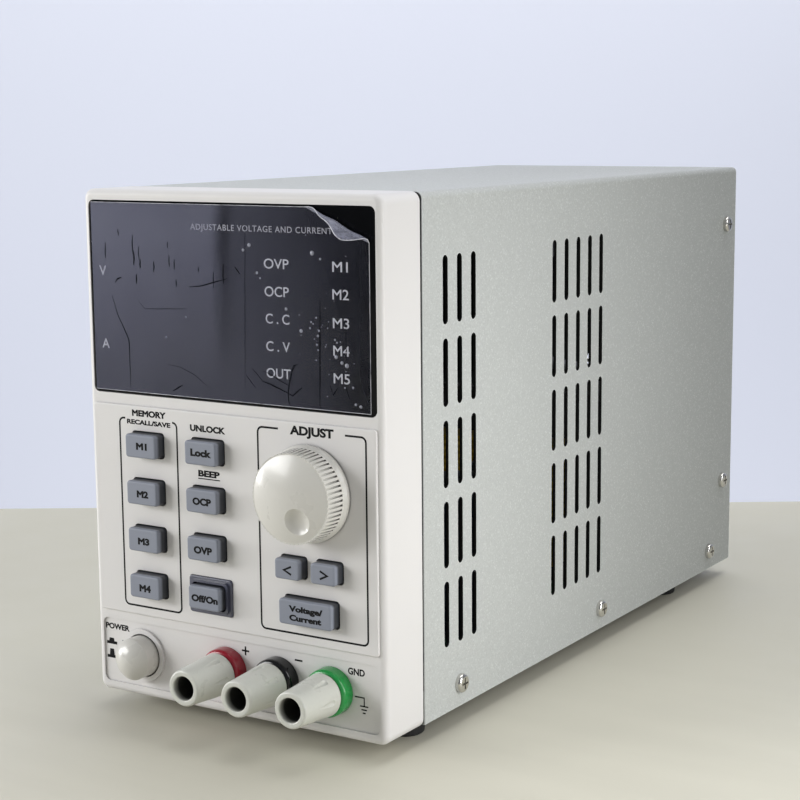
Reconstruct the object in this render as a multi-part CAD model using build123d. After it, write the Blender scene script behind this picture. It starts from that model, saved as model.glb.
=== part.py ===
"""Bench power supply, 110 x 160 x 260 mm, built as separate pieces in one frame.

Every piece is drawn from one datum: X across the front, +Y towards the rear, +Z up, with Y = 0 on the
front rim of the bezel and Z = 0 under the bezel. OBJECT_FRAME then moves the datum so that the origin is
the bottom centre of the whole object. Sizes are in millimetres.
"""

import os

from build123d import *

# Enclosure
WIDTH = 110.0
HEIGHT = 160.2
BEZEL_DEPTH = 20.2
BEZEL_WALL = 2.5
BEZEL_FACE = 3.0
BEZEL_CORNER = 3.0
BEZEL_EDGE = 2.0
COVER_FRONT = 20.8
CASE_REAR = 260.0
COVER_TOP = 160.0
COVER_BOTTOM = 0.74
COVER_BEND = 2.0
SHEET = 1.0
SHEET_GAP = 0.1
FLOOR_BOTTOM = 1.0
FLANGE_TOP = 15.0
REAR_PANEL_FRONT = 257.5
REAR_FLANGE_FRONT = 246.0
REAR_MOST = 261.7
FRONT_PLATE_FRONT = 21.0

# Display lens and its film
LENS_HALF_WIDTH = 52.7
LENS_BOTTOM = 97.3
LENS_TOP = 156.7
LENS_FRONT = 0.2
LENS_THICKNESS = 1.8
LENS_CORNER = 2.0
LENS_GAP = 0.2
WINDOW = (-44.0, 46.0, 103.5, 149.5)
FILM_THICKNESS = 0.12
FILM_LEFT, FILM_RIGHT = -52.0, 50.8
FILM_BOTTOM, FILM_TOP = 98.0, 156.2
FILM_FOLD_TOP_X = 28.9
FILM_FOLD_SIDE_Z = 146.4

# Raised key panel and lower terminal recess
PANEL_HALF_WIDTH = 52.9
PANEL_BOTTOM, PANEL_TOP = 27.0, 93.8
PANEL_RAISE = 0.8
RECESS_HALF_WIDTH = 52.7
RECESS_BOTTOM, RECESS_TOP = 3.2, 24.1
RECESS_DEPTH = 0.6

# Keys
KEY_FACE = -4.8
KEY_GAP = 0.45
KEY_CORNER = 1.0
KEY_EDGE = 0.6
KEY_TRAVEL = 0.6
KEY_FLANGE_LIP = 0.8
KEY_FLANGE = (3.2, 4.4)
KEY_STEM_RADIUS = 1.8
KEY_STEM_END = 8.6
PLUNGER_TIP = 9.4
MEMORY_X = -31.0
FUNCTION_X = -7.7
KEY_ROWS = [82.0, 67.3, 52.45, 37.6]
SMALL_KEY = (11.9, 7.3)
ARROW_KEY = (8.8, 6.2)
WIDE_KEY = (18.8, 7.7)
ARROW_Z = 50.4
KEYS = {
    "key_memory_1": (MEMORY_X, KEY_ROWS[0], *SMALL_KEY),
    "key_memory_2": (MEMORY_X, KEY_ROWS[1], *SMALL_KEY),
    "key_memory_3": (MEMORY_X, KEY_ROWS[2], *SMALL_KEY),
    "key_memory_4": (MEMORY_X, KEY_ROWS[3], *SMALL_KEY),
    "key_lock": (FUNCTION_X, KEY_ROWS[0], *SMALL_KEY),
    "key_current_limit": (FUNCTION_X, KEY_ROWS[1], *SMALL_KEY),
    "key_voltage_limit": (FUNCTION_X, KEY_ROWS[2], *SMALL_KEY),
    "key_output": (FUNCTION_X, KEY_ROWS[3] - 0.4, *SMALL_KEY),
    "key_digit_left": (23.6, ARROW_Z, *ARROW_KEY),
    "key_digit_right": (36.4, ARROW_Z, *ARROW_KEY),
    "key_volt_amp": (29.8, 37.6, *WIDE_KEY),
}
OUTPUT_FRAME_WIDTH, OUTPUT_FRAME_HEIGHT = 16.4, 11.6
OUTPUT_FRAME_FACE = -1.4
OUTPUT_FRAME_LIP = -2.2

# Adjust knob and encoder
KNOB_X, KNOB_Z = 29.4, 73.1
KNOB_FLANGE_RADIUS = 14.5
KNOB_FLANGE = (-3.3, -1.1)
KNOB_RIM_RADIUS = 13.9
KNOB_RIM_FRONT = -10.4
KNOB_FACE_RADIUS = 12.9
KNOB_APEX = -13.0
KNOB_RIBS = 60
KNOB_RIB_GAP = 0.62
DIMPLE_OFFSET = (4.0, -6.9)
DIMPLE_RADIUS = 4.2
DIMPLE_DEPTH = 1.5
SHAFT_RADIUS = 3.0
SHAFT_FLAT = 2.3
RUNNING_GAP = 0.05

# Power button and switch
POWER_X, POWER_Z = -36.6, 13.6
POWER_HOLE_RADIUS = 7.0
POWER_RING_RADIUS = 8.5
POWER_RING_FACE = -0.3
POWER_BUTTON_RADIUS = 6.6
POWER_SHOULDER = -5.5
POWER_APEX = -8.8
POWER_TRAVEL = 4.0
PUSH_ROD_RADIUS = 2.0
POWER_SWITCH_FRONT, POWER_SWITCH_REAR = 34.0, 56.0

# Binding posts
POSTS = {"red": -3.3, "black": 16.2, "green": 35.6}
POST_Z = 14.1
COLLAR_RADIUS = 7.3
COLLAR_FRONT = -4.0
STUD_RADIUS = 3.4
STUD_FRONT, STUD_REAR = -12.5, 16.0
SOCKET_RADIUS = 2.05
SOCKET_DEPTH = 14.0
SLEEVE_FRONT, SLEEVE_REAR = -21.0, -4.2
SLEEVE_REAR_RADIUS, SLEEVE_FRONT_RADIUS = 6.6, 5.5
SLEEVE_MOUTH_RADIUS = 3.7
SLEEVE_BORE_RADIUS = 4.7
SLEEVE_FLUTES = 6
FLUTE_REAR, FLUTE_FRONT = -8.3, -17.0
FLUTE_TURN = {"red": 28.0, "black": -2.0, "green": 33.0}
INSERT_FRONT, INSERT_REAR = -11.5, -4.3
POST_TRAVEL = 4.0
THREAD_PITCH = 1.0

# Front circuit board
BOARD_FRONT, BOARD_REAR = 14.0, 15.6
BOARD_HALF_WIDTH = 50.0
BOARD_BOTTOM, BOARD_TOP = 30.0, 149.0

# Side slots and cover screws: (distance from the front, height)
SLOT_LENGTH, SLOT_WIDTH = 20.6, 3.0
SLOT_ROWS = [31.7 + 24.75 * row for row in range(5)]
FRONT_COLUMNS = [34.25 + 8.3 * column for column in range(3)]
REAR_COLUMNS = [104.0 + 8.65 * column for column in range(5)]
COVER_SCREWS = [(42.0, 8.1), (140.0, 8.1), (238.0, 8.1), (250.3, 35.0), (250.3, 138.0)]
SCREW_RADIUS = 1.5
SCREW_HOLE = 1.6
SCREW_HEAD_RADIUS = 3.0
SCREW_HEAD_HEIGHT = 1.9

# Feet
FOOT_RADIUS = 7.0
FOOT_DROP = 5.3
FOOT_X = 43.0
FOOT_Y = [28.2, 217.0]
FOOT_SPOTS = [(side * FOOT_X, y) for side in (-1, 1) for y in FOOT_Y]

# Fixing points inside
BOSS_SPOTS = [(side * 48.5, z) for side in (-1, 1) for z in (25.5, 153.5)]
BOSS_RADIUS = 3.5
STANDOFF_SPOTS = [(side * 47.0, z) for side in (-1, 1) for z in (34.0, 96.0)]
STANDOFF_RADIUS = 2.5
PEG_SPOTS = [(side * 44.0, y) for side in (-1, 1) for y in (66.0, 152.0)]
CLAMP_SPOTS = [(side * 49.85, y) for side in (-1, 1) for y in (180.0, 196.0)]
REAR_TAB_SPOTS = [(side * 46.0, 251.5) for side in (-1, 1)]

# Main circuit board and what stands on it
MAIN_BOARD = (-49.0, 49.0, 60.0, 158.0)
MAIN_BOARD_BOTTOM, MAIN_BOARD_TOP = 9.0, 10.6
CAPACITOR_RADIUS = 13.0
CAPACITOR_HEIGHT = 52.0
CAPACITOR_SPOTS = [(30.0, 86.0), (30.0, 118.0)]
HEATSINK = (-46.0, -16.0, 74.0, 144.0, 80.0)
TRANSISTOR_Y = [90.0, 109.0, 128.0]
RECTIFIER_SPOT = (2.0, 138.0)

# Mains transformer
CORE_Y = (165.0, 211.0)
CORE_HALF_WIDTH = 45.5
CORE_HEIGHT = 76.0
CORE_LIMB = 15.5
CORE_WINDOW_HEIGHT = 46.0
COIL_OVERHANG = 13.0
CLAMP_SHEET = 1.2

# Rear panel fittings
FAN_CENTRE_Z = 114.0
FAN_SIZE = 80.0
FAN_FRONT = 232.0
FAN_HOLE_PITCH = 71.5
FAN_BORE_RADIUS = 38.0
FAN_HUB_RADIUS = 17.0
FAN_TUBE_RADIUS = 3.5
FAN_BLADES = 7
GUARD_WIRE = 0.9
GUARD_RINGS = [10.0, 19.0, 28.0, 37.0]
INLET_X, INLET_Z = -30.0, 34.0
INLET_FLANGE = (32.0, 42.0)
INLET_BODY = (27.0, 37.0)
INLET_FRONT = 232.0
SOCKET_OPENING = (23.0, 16.0)
SOCKET_OPENING_DEPTH = 16.0
SOCKET_OPENING_Z = INLET_Z + 7.0
DRAWER_Z = INLET_Z - 11.5
DRAWER_SIZE = (22.0, 9.0)
DRAWER_TRAVEL = 22.0
FUSE_RADIUS = 2.6
SELECTOR_X, SELECTOR_Z = 30.0, 34.0
SELECTOR_TRAVEL = 5.0

FRONT_MOST = SLEEVE_FRONT
MID_Y = (FRONT_MOST + REAR_MOST) / 2
OBJECT_FRAME = Pos(0, -MID_Y, FOOT_DROP)


# ---------------------------------------------------------------- simple shapes


def block(x, y, z):
    """Box between two planes on each axis, each given as (low, high)."""
    size = [high - low for low, high in (x, y, z)]
    centre = [(high + low) / 2 for low, high in (x, y, z)]
    return Pos(*centre) * Box(*size)


def bar_x(y, z, radius, x0, x1):
    """Round bar along X."""
    return Pos((x0 + x1) / 2, y, z) * Rot(0, 90, 0) * Cylinder(radius, x1 - x0)


def bar_y(x, z, radius, y0, y1):
    """Round bar along Y."""
    return Pos(x, (y0 + y1) / 2, z) * Rot(90, 0, 0) * Cylinder(radius, y1 - y0)


def bar_z(x, y, radius, z0, z1):
    """Round bar along Z."""
    return Pos(x, y, (z0 + z1) / 2) * Cylinder(radius, z1 - z0)


def facing_front(x, y, z):
    """Plane that looks out of the front, with X to the right and Z up."""
    return Plane(origin=(x, y, z), x_dir=(1, 0, 0), z_dir=(0, -1, 0))


def slab(sketch, x, z, y0, y1):
    """A front view outline at (x, z), solid from y0 back to y1."""
    return extrude(facing_front(x, y1, z) * sketch, y1 - y0)


def rounded_slab(x, z, width, height, corner, y0, y1):
    """Rectangular slab that faces the front, with rounded corners."""
    return slab(RectangleRounded(width, height, corner), x, z, y0, y1)


def between(x0, x1, z0, z1, corner, y0, y1):
    """Rounded slab given by its four sides."""
    return rounded_slab((x0 + x1) / 2, (z0 + z1) / 2, x1 - x0, z1 - z0, corner, y0, y1)


def turned(points, x, z):
    """Solid of revolution about an axis along Y through (x, z), from (radius, y) points."""
    outline = make_face(Plane.XY * Polyline(*points, close=True))
    return Pos(x, 0, z) * revolve(outline, Axis.Y, 360)


def ring_y(x, z, outer, inner, y0, y1):
    """Tube along Y."""
    return bar_y(x, z, outer, y0, y1) - bar_y(x, z, inner, y0 - 1, y1 + 1)


def front_edges(part):
    """Edges of the face nearest the front."""
    return part.faces().sort_by(Axis.Y)[0].edges()


def group(solids):
    """Separate solids kept together in one piece."""
    return Compound(children=list(solids))


def pan_screw(length):
    """Pan head screw standing on Z = 0, cross recess upwards, shank down."""
    head = Pos(0, 0, SCREW_HEAD_HEIGHT / 2) * Cylinder(SCREW_HEAD_RADIUS, SCREW_HEAD_HEIGHT)
    head = fillet(head.edges().group_by(Axis.Z)[-1], 1.1)
    shank = bar_z(0, 0, SCREW_RADIUS, -length, 0.5)
    recess_floor = SCREW_HEAD_HEIGHT - 0.9
    slot = Box(3.6, 0.7, 3) + Box(0.7, 3.6, 3)
    return head + shank - Pos(0, 0, recess_floor + 1.5) * slot


# ---------------------------------------------------------------- enclosure


def front_bezel():
    """Moulded front shell with every opening for the controls."""
    shell = between(-WIDTH / 2, WIDTH / 2, 0, HEIGHT, BEZEL_CORNER, 0, BEZEL_DEPTH)
    shell = fillet(front_edges(shell), BEZEL_EDGE)
    inner = WIDTH / 2 - BEZEL_WALL
    shell -= between(-inner, inner, BEZEL_WALL, HEIGHT - BEZEL_WALL, 1, BEZEL_FACE, BEZEL_DEPTH + 1)

    panel = between(-PANEL_HALF_WIDTH, PANEL_HALF_WIDTH, PANEL_BOTTOM, PANEL_TOP, 1, -PANEL_RAISE, 0.5)
    shell += fillet(front_edges(panel), 0.5)
    shell -= between(-RECESS_HALF_WIDTH, RECESS_HALF_WIDTH, RECESS_BOTTOM, RECESS_TOP, 2, -1, RECESS_DEPTH)
    shell += bar_y(POWER_X, POWER_Z, POWER_RING_RADIUS, POWER_RING_FACE, 1)

    shell += [bar_y(x, z, BOSS_RADIUS, 2, FRONT_PLATE_FRONT) for x, z in BOSS_SPOTS]
    shell += [bar_y(x, z, STANDOFF_RADIUS, 2, BOARD_FRONT) for x, z in STANDOFF_SPOTS]
    return shell - group(bezel_openings())


def bezel_openings():
    """Everything that is cut through the face of the bezel."""
    lens_edge = LENS_HALF_WIDTH + LENS_GAP
    lens_seat = LENS_FRONT + LENS_THICKNESS
    cuts = [
        between(-lens_edge, lens_edge, LENS_BOTTOM - LENS_GAP, LENS_TOP + LENS_GAP, 2, -1, lens_seat),
        between(*WINDOW, 2, 0, 4),
        bar_y(KNOB_X, KNOB_Z, 3.8, -2, 4),
        bar_y(POWER_X, POWER_Z, POWER_HOLE_RADIUS, -2, 4),
        between(*output_frame_sides(0.1), 1, -2, 0),
    ]
    for x, z, width, height in KEYS.values():
        cuts.append(rounded_slab(x, z, width + 2 * KEY_GAP, height + 2 * KEY_GAP, 1.2, -2, 4))
    cuts += [bar_y(x, POST_Z, 4.3, -1, 4) for x in POSTS.values()]
    cuts += [bar_y(x, z, SCREW_HOLE, 10, FRONT_PLATE_FRONT + 1) for x, z in BOSS_SPOTS]
    cuts += [bar_y(x, z, SCREW_HOLE, 5, BOARD_FRONT + 1) for x, z in STANDOFF_SPOTS]
    return cuts


def output_frame_sides(gap=0.0):
    """Left, right, bottom and top of the frame round the output key."""
    x, z, _, _ = KEYS["key_output"]
    half_width, half_height = OUTPUT_FRAME_WIDTH / 2 + gap, OUTPUT_FRAME_HEIGHT / 2 + gap
    return x - half_width, x + half_width, z - half_height, z + half_height


def output_key_frame():
    """Glossy frame set into the panel, with a raised lip round the output key."""
    x, z, width, height = KEYS["key_output"]
    frame = between(*output_frame_sides(), 1, OUTPUT_FRAME_FACE, 0)
    frame = fillet(front_edges(frame), 0.4)
    frame += rounded_slab(x, z, width + 2.4, height + 2.4, 1.4, OUTPUT_FRAME_LIP, -1)
    return frame - rounded_slab(x, z, width + 2 * KEY_GAP, height + 2 * KEY_GAP, 1.2, -4, 1)


def cover():
    """Folded steel top and sides with vent slots and screw holes."""
    outer = cover_section(WIDTH / 2, COVER_TOP, COVER_BEND)
    inner = cover_section(WIDTH / 2 - SHEET, COVER_TOP - SHEET, COVER_BEND - SHEET)
    shell = extrude(facing_front(0, CASE_REAR, 0) * (outer - inner), CASE_REAR - COVER_FRONT)
    slots = Locations([(y, z) for y in FRONT_COLUMNS + REAR_COLUMNS for z in SLOT_ROWS])
    slot_shapes = Sketch() + [spot * SlotOverall(SLOT_LENGTH, SLOT_WIDTH, rotation=90) for spot in slots]
    shell -= extrude(Plane.YZ * slot_shapes, WIDTH, both=True)
    return shell - [bar_x(y, z, SCREW_HOLE, -WIDTH, WIDTH) for y, z in COVER_SCREWS]


def cover_section(half_width, top, bend):
    """Front view of the cover's outline, rounded at its two top corners and open below."""
    height = top - COVER_BOTTOM
    outline = Pos(0, COVER_BOTTOM + height / 2) * Rectangle(2 * half_width, height)
    return fillet(outline.vertices().group_by(Axis.Y)[-1], bend)


def base_chassis():
    """Tray with low side flanges and a front plate with a window in it."""
    half = WIDTH / 2 - SHEET - SHEET_GAP
    floor_top = FLOOR_BOTTOM + SHEET
    rear = REAR_PANEL_FRONT - SHEET_GAP
    tray = block((-half, half), (FRONT_PLATE_FRONT, rear), (FLOOR_BOTTOM, floor_top))
    for side in (-1, 1):
        flange_x = sorted((side * (half - SHEET), side * half))
        tray += block(flange_x, (FRONT_PLATE_FRONT, rear), (FLOOR_BOTTOM, FLANGE_TOP))
    tray += block((-52.8, 52.8), (FRONT_PLATE_FRONT, FRONT_PLATE_FRONT + SHEET), (FLOOR_BOTTOM, 158))
    tray -= block((-42, 42), (20, 23), (32, 148))
    tray -= [bar_y(x, POST_Z, 5, 20, 23) for x in (POWER_X, *POSTS.values())]
    tray += [bar_z(x, y, 3, floor_top - 0.5, MAIN_BOARD_BOTTOM) for x, y in PEG_SPOTS]
    tray += switch_saddle(floor_top)
    return tray - group(chassis_holes(half))


def switch_saddle(floor_top):
    """Two upright tabs that the power switch sits on."""
    y0, y1 = POWER_SWITCH_FRONT + 2, POWER_SWITCH_REAR - 2
    top = POWER_Z - 6
    return [
        block((x - SHEET / 2, x + SHEET / 2), (y0, y1), (floor_top - 0.5, top))
        for x in (POWER_X - 5, POWER_X + 5)
    ]


def chassis_holes(half):
    """Screw holes of the tray: sides, floor, pegs and front plate."""
    holes = [bar_x(y, z, SCREW_HOLE, -half - 1, half + 1) for y, z in COVER_SCREWS if z < FLANGE_TOP]
    floor_spots = FOOT_SPOTS + CLAMP_SPOTS + REAR_TAB_SPOTS
    holes += [bar_z(x, y, SCREW_HOLE, 0, 3) for x, y in floor_spots]
    holes += [bar_z(x, y, SCREW_HOLE, 0, 10) for x, y in PEG_SPOTS]
    holes += [bar_y(x, z, SCREW_HOLE, 20, 23) for x, z in BOSS_SPOTS]
    return holes


def rear_panel():
    """Rear sheet with forward flanges and the openings for the fan, inlet and selector."""
    half = WIDTH / 2 - SHEET - SHEET_GAP
    front, back = REAR_PANEL_FRONT, REAR_PANEL_FRONT + SHEET
    floor_top = FLOOR_BOTTOM + SHEET
    panel = between(-half, half, FLOOR_BOTTOM, COVER_TOP - SHEET - SHEET_GAP, 1.2, front, back)
    flange_y = (REAR_FLANGE_FRONT, back)
    for side in (-1, 1):
        flange_x = sorted((side * (half - SHEET), side * half))
        panel += block(flange_x, flange_y, (16, 158))
    panel += block((-52.0, 52.0), flange_y, (floor_top, floor_top + SHEET))
    panel -= bar_y(0, FAN_CENTRE_Z, FAN_BORE_RADIUS, front - 1, back + 1)
    panel -= [bar_y(x, z, 2.2, front - 1, back + 1) for x, z in fan_corners()]
    inlet_width, inlet_height = INLET_BODY
    panel -= rounded_slab(INLET_X, INLET_Z, inlet_width + 0.2, inlet_height + 0.2, 1, front - 1, back + 1)
    panel -= rounded_slab(SELECTOR_X, SELECTOR_Z, 26.2, 14.2, 1, front - 1, back + 1)
    panel -= [bar_x(y, z, SCREW_HOLE, -60, 60) for y, z in COVER_SCREWS if z > FLANGE_TOP]
    return panel - [bar_z(x, y, SCREW_HOLE, 1, 4) for x, y in REAR_TAB_SPOTS]


def cover_screws():
    """Ten pan head screws in the sides of the cover."""
    screws = []
    for y, z in COVER_SCREWS:
        for side in (-1, 1):
            screws.append(Pos(side * WIDTH / 2, y, z) * Rot(0, side * 90, 0) * pan_screw(6))
    return group(screws)


def chassis_screws():
    """Pan head screws that hold the boards, the bezel, the feet, the clamp and the rear panel."""
    plate_back = FRONT_PLATE_FRONT + SHEET
    counterbore = FOOT_DROP - 3.0
    screws = [Pos(x, plate_back, z) * Rot(-90, 0, 0) * pan_screw(8) for x, z in BOSS_SPOTS]
    screws += [Pos(x, BOARD_REAR, z) * Rot(-90, 0, 0) * pan_screw(8) for x, z in STANDOFF_SPOTS]
    screws += [Pos(x, y, MAIN_BOARD_TOP) * pan_screw(6) for x, y in PEG_SPOTS]
    screws += [Pos(x, y, FLOOR_BOTTOM + SHEET + CLAMP_SHEET) * pan_screw(5) for x, y in CLAMP_SPOTS]
    screws += [Pos(x, y, FLOOR_BOTTOM + 2 * SHEET) * pan_screw(5) for x, y in REAR_TAB_SPOTS]
    screws += [Pos(x, y, -counterbore) * Rot(180, 0, 0) * pan_screw(6) for x, y in FOOT_SPOTS]
    return group(screws)


def feet():
    """Four moulded feet with a counterbore for their screws."""
    counterbore = FOOT_DROP - 3.0
    feet = []
    for x, y in FOOT_SPOTS:
        foot = Pos(x, y, (FLOOR_BOTTOM - FOOT_DROP) / 2) * Cone(6.4, FOOT_RADIUS, FLOOR_BOTTOM + FOOT_DROP)
        foot = fillet(foot.edges().group_by(Axis.Z)[0], 0.8)
        foot -= bar_z(x, y, SCREW_HEAD_RADIUS + 0.4, -FOOT_DROP - 1, -counterbore)
        feet.append(foot - bar_z(x, y, SCREW_HOLE, -FOOT_DROP, 2))
    return group(feet)


# ---------------------------------------------------------------- display


def display_lens():
    """Smoked window in the upper half of the bezel."""
    back = LENS_FRONT + LENS_THICKNESS
    lens = between(-LENS_HALF_WIDTH, LENS_HALF_WIDTH, LENS_BOTTOM, LENS_TOP, LENS_CORNER, LENS_FRONT, back)
    return chamfer(front_edges(lens), 0.2)


def display_film():
    """Thin film on the lens, without the corner that has been peeled away."""
    outline = make_face(
        Polyline(
            (FILM_LEFT, FILM_BOTTOM),
            (FILM_RIGHT, FILM_BOTTOM),
            (FILM_RIGHT, FILM_FOLD_SIDE_Z),
            (FILM_FOLD_TOP_X, FILM_TOP),
            (FILM_LEFT, FILM_TOP),
            close=True,
        )
    )
    return slab(outline, 0, 0, LENS_FRONT - FILM_THICKNESS, LENS_FRONT)


def front_board():
    """Circuit board behind the bezel."""
    half = BOARD_HALF_WIDTH
    board = block((-half, half), (BOARD_FRONT, BOARD_REAR), (BOARD_BOTTOM, BOARD_TOP))
    return board - [bar_y(x, z, SCREW_HOLE, 13, 17) for x, z in STANDOFF_SPOTS]


def digit_displays():
    """Two four-digit modules, voltage above current."""
    modules = []
    for z in (135.3, 112.5):
        module = block((-40, 12), (4.5, BOARD_FRONT), (z - 9.4, z + 9.4))
        modules.append(module)
    return group(modules)


def indicator_leds():
    """Two columns of five small indicators beside the digits."""
    leds = []
    for x in (27.0, 34.0):
        for row in range(5):
            z = 107.5 + 8.05 * row
            body = bar_y(x, z, 1.5, 5.5, BOARD_FRONT)
            leds.append(fillet(front_edges(body), 1.2))
    return group(leds)


# ---------------------------------------------------------------- keys


def key(name):
    """Moulded key with its retaining flange and the stem that meets the switch."""
    x, z, width, height = KEYS[name]
    flange_front, flange_back = KEY_FLANGE
    lip = 2 * (KEY_GAP + KEY_FLANGE_LIP)
    cap = rounded_slab(x, z, width, height, KEY_CORNER, KEY_FACE, flange_front)
    cap = fillet(front_edges(cap), KEY_EDGE)
    cap += rounded_slab(x, z, width + lip, height + lip, 1, flange_front, flange_back)
    return cap + bar_y(x, z, KEY_STEM_RADIUS, flange_back - 0.5, KEY_STEM_END)


def tact_switches():
    """One tactile switch on the board behind each key."""
    switches = []
    for x, z, _, _ in KEYS.values():
        body = rounded_slab(x, z, 6, 6, 0.5, 10.5, BOARD_FRONT)
        switches.append(body + bar_y(x, z, 1.7, PLUNGER_TIP, 11))
    return group(switches)


# ---------------------------------------------------------------- adjust knob


def shaft_section(radius, flat):
    """Round section with one flat."""
    return Circle(radius) & (Pos(0, (flat - radius) / 2) * Rectangle(2 * radius, radius + flat))


def adjust_knob():
    """Ribbed knob with a domed face, a finger dimple and a bore with a flat."""
    body = turned(
        [
            (0, KNOB_FLANGE[1]),
            (KNOB_FLANGE_RADIUS, KNOB_FLANGE[1]),
            (KNOB_FLANGE_RADIUS, KNOB_FLANGE[1] - 1.2),
            (KNOB_RIM_RADIUS, KNOB_FLANGE[0]),
            (KNOB_RIM_RADIUS - 0.5, KNOB_RIM_FRONT),
            (0, KNOB_RIM_FRONT),
        ],
        KNOB_X,
        KNOB_Z,
    )
    body += knob_face()
    body -= knob_rib_gaps()
    body -= knob_dimple()
    bore = slab(shaft_section(SHAFT_RADIUS, SHAFT_FLAT), KNOB_X, KNOB_Z, KNOB_RIM_FRONT + 0.5, 0)
    recess = ring_y(KNOB_X, KNOB_Z, KNOB_RIM_RADIUS - 2.6, 5.2, KNOB_RIM_FRONT + 1.5, 0)
    return body - bore - recess


def knob_face():
    """Crowned front of the knob: a spherical cap on the rim."""
    rise = KNOB_RIM_FRONT - KNOB_APEX
    sphere_radius = (KNOB_FACE_RADIUS**2 + rise**2) / (2 * rise)
    sphere = Pos(KNOB_X, KNOB_APEX + sphere_radius, KNOB_Z) * Sphere(sphere_radius)
    return sphere & bar_y(KNOB_X, KNOB_Z, KNOB_FACE_RADIUS, KNOB_APEX - 1, KNOB_RIM_FRONT + 0.5)


def knob_rib_gaps():
    """Grooves all round the rim: deep at the flange, shallow at the face, with eased shoulders."""
    front, back = KNOB_RIM_FRONT - 0.1, KNOB_FLANGE[0] - 0.5
    spots = PolarLocations(KNOB_RIM_RADIUS + 0.1, KNOB_RIBS)
    gap = SlotOverall(1.7, KNOB_RIB_GAP) + Pos(0.3, 0) * Circle(KNOB_RIB_GAP)
    return slab(Sketch() + [spot * gap for spot in spots], KNOB_X, KNOB_Z, front, back)


def knob_dimple():
    """Ball that cuts the finger dimple."""
    dx, dz = DIMPLE_OFFSET
    ball = (DIMPLE_RADIUS**2 + DIMPLE_DEPTH**2) / (2 * DIMPLE_DEPTH)
    face_drop = 1.0
    return Pos(KNOB_X + dx, KNOB_APEX + face_drop + DIMPLE_DEPTH - ball, KNOB_Z + dz) * Sphere(ball)


def encoder_body():
    """Rotary encoder on the front board with its bush."""
    body = rounded_slab(KNOB_X, KNOB_Z, 12, 12, 0.8, 7, BOARD_FRONT)
    body += bar_y(KNOB_X, KNOB_Z, 4.5, 3.4, 7.5)
    return body - bar_y(KNOB_X, KNOB_Z, SHAFT_RADIUS + RUNNING_GAP, 2, 12)


def encoder_shaft():
    """Encoder shaft: round inside the bush, flatted inside the knob."""
    shaft = bar_y(KNOB_X, KNOB_Z, SHAFT_RADIUS, -1, 11.8)
    return shaft + slab(shaft_section(SHAFT_RADIUS, SHAFT_FLAT), KNOB_X, KNOB_Z, KNOB_RIM_FRONT + 0.5, 0)


# ---------------------------------------------------------------- power button


def power_button():
    """Round button with a domed cap and a retaining flange."""
    rise = POWER_SHOULDER - POWER_APEX
    sphere_radius = (POWER_BUTTON_RADIUS**2 + rise**2) / (2 * rise)
    sphere = Pos(POWER_X, POWER_APEX + sphere_radius, POWER_Z) * Sphere(sphere_radius)
    cap = sphere & bar_y(POWER_X, POWER_Z, POWER_BUTTON_RADIUS, POWER_APEX - 1, POWER_SHOULDER + 0.2)
    body = cap + bar_y(POWER_X, POWER_Z, POWER_BUTTON_RADIUS, POWER_SHOULDER, 3.4)
    body += bar_y(POWER_X, POWER_Z, POWER_HOLE_RADIUS + 1, 3.2, 4.6)
    return body - bar_y(POWER_X, POWER_Z, PUSH_ROD_RADIUS, -1, 6)


def power_push_rod():
    """Rod from the button to the switch."""
    return bar_y(POWER_X, POWER_Z, PUSH_ROD_RADIUS, -1, POWER_SWITCH_FRONT + 10)


def power_switch():
    """Latching mains switch on the floor behind the button."""
    front, back = POWER_SWITCH_FRONT, POWER_SWITCH_REAR
    body = block((POWER_X - 7, POWER_X + 7), (front, back), (POWER_Z - 6, POWER_Z + 6))
    body -= bar_y(POWER_X, POWER_Z, PUSH_ROD_RADIUS + RUNNING_GAP, front - 1, front + 15)
    tags = [
        block((POWER_X + x - 0.4, POWER_X + x + 0.4), (back - 1, back + 5), (POWER_Z - 1.5, POWER_Z + 1.5))
        for x in (-4, 4)
    ]
    return body + tags


# ---------------------------------------------------------------- binding posts


def post_collar(x):
    """Coloured ring behind the sleeve, with a spigot through the panel."""
    seat = RECESS_DEPTH
    ring = turned(
        [
            (0, COLLAR_FRONT),
            (COLLAR_RADIUS, COLLAR_FRONT),
            (COLLAR_RADIUS, seat),
            (0, seat),
        ],
        x,
        POST_Z,
    )
    ring = fillet(front_edges(ring), 1.3)
    ring += bar_y(x, POST_Z, 4.2, seat - 0.2, BEZEL_FACE)
    return ring - bar_y(x, POST_Z, STUD_RADIUS + RUNNING_GAP, COLLAR_FRONT - 1, 5)


def post_studs():
    """Brass studs with a 4 mm socket in front and a cross hole for bare wire."""
    studs = []
    for x in POSTS.values():
        stud = bar_y(x, POST_Z, STUD_RADIUS, STUD_FRONT, STUD_REAR)
        stud = chamfer(front_edges(stud), 0.4)
        stud -= bar_y(x, POST_Z, SOCKET_RADIUS, STUD_FRONT - 1, STUD_FRONT + SOCKET_DEPTH)
        studs.append(stud - bar_z(x, COLLAR_FRONT - 1.6, 1.2, POST_Z - 5, POST_Z + 5))
    return group(studs)


def post_nuts():
    """Hexagon nuts that hold the posts from behind."""
    hole = Circle(STUD_RADIUS + RUNNING_GAP)
    nut = RegularPolygon(6.5, 6) - hole
    return group(slab(nut, x, POST_Z, BEZEL_FACE, BEZEL_FACE + 4) for x in POSTS.values())


def post_insert(x):
    """Threaded brass insert that carries a sleeve along its stud."""
    inner = STUD_RADIUS + RUNNING_GAP
    return ring_y(x, POST_Z, SLEEVE_BORE_RADIUS - RUNNING_GAP, inner, INSERT_FRONT, INSERT_REAR)


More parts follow.
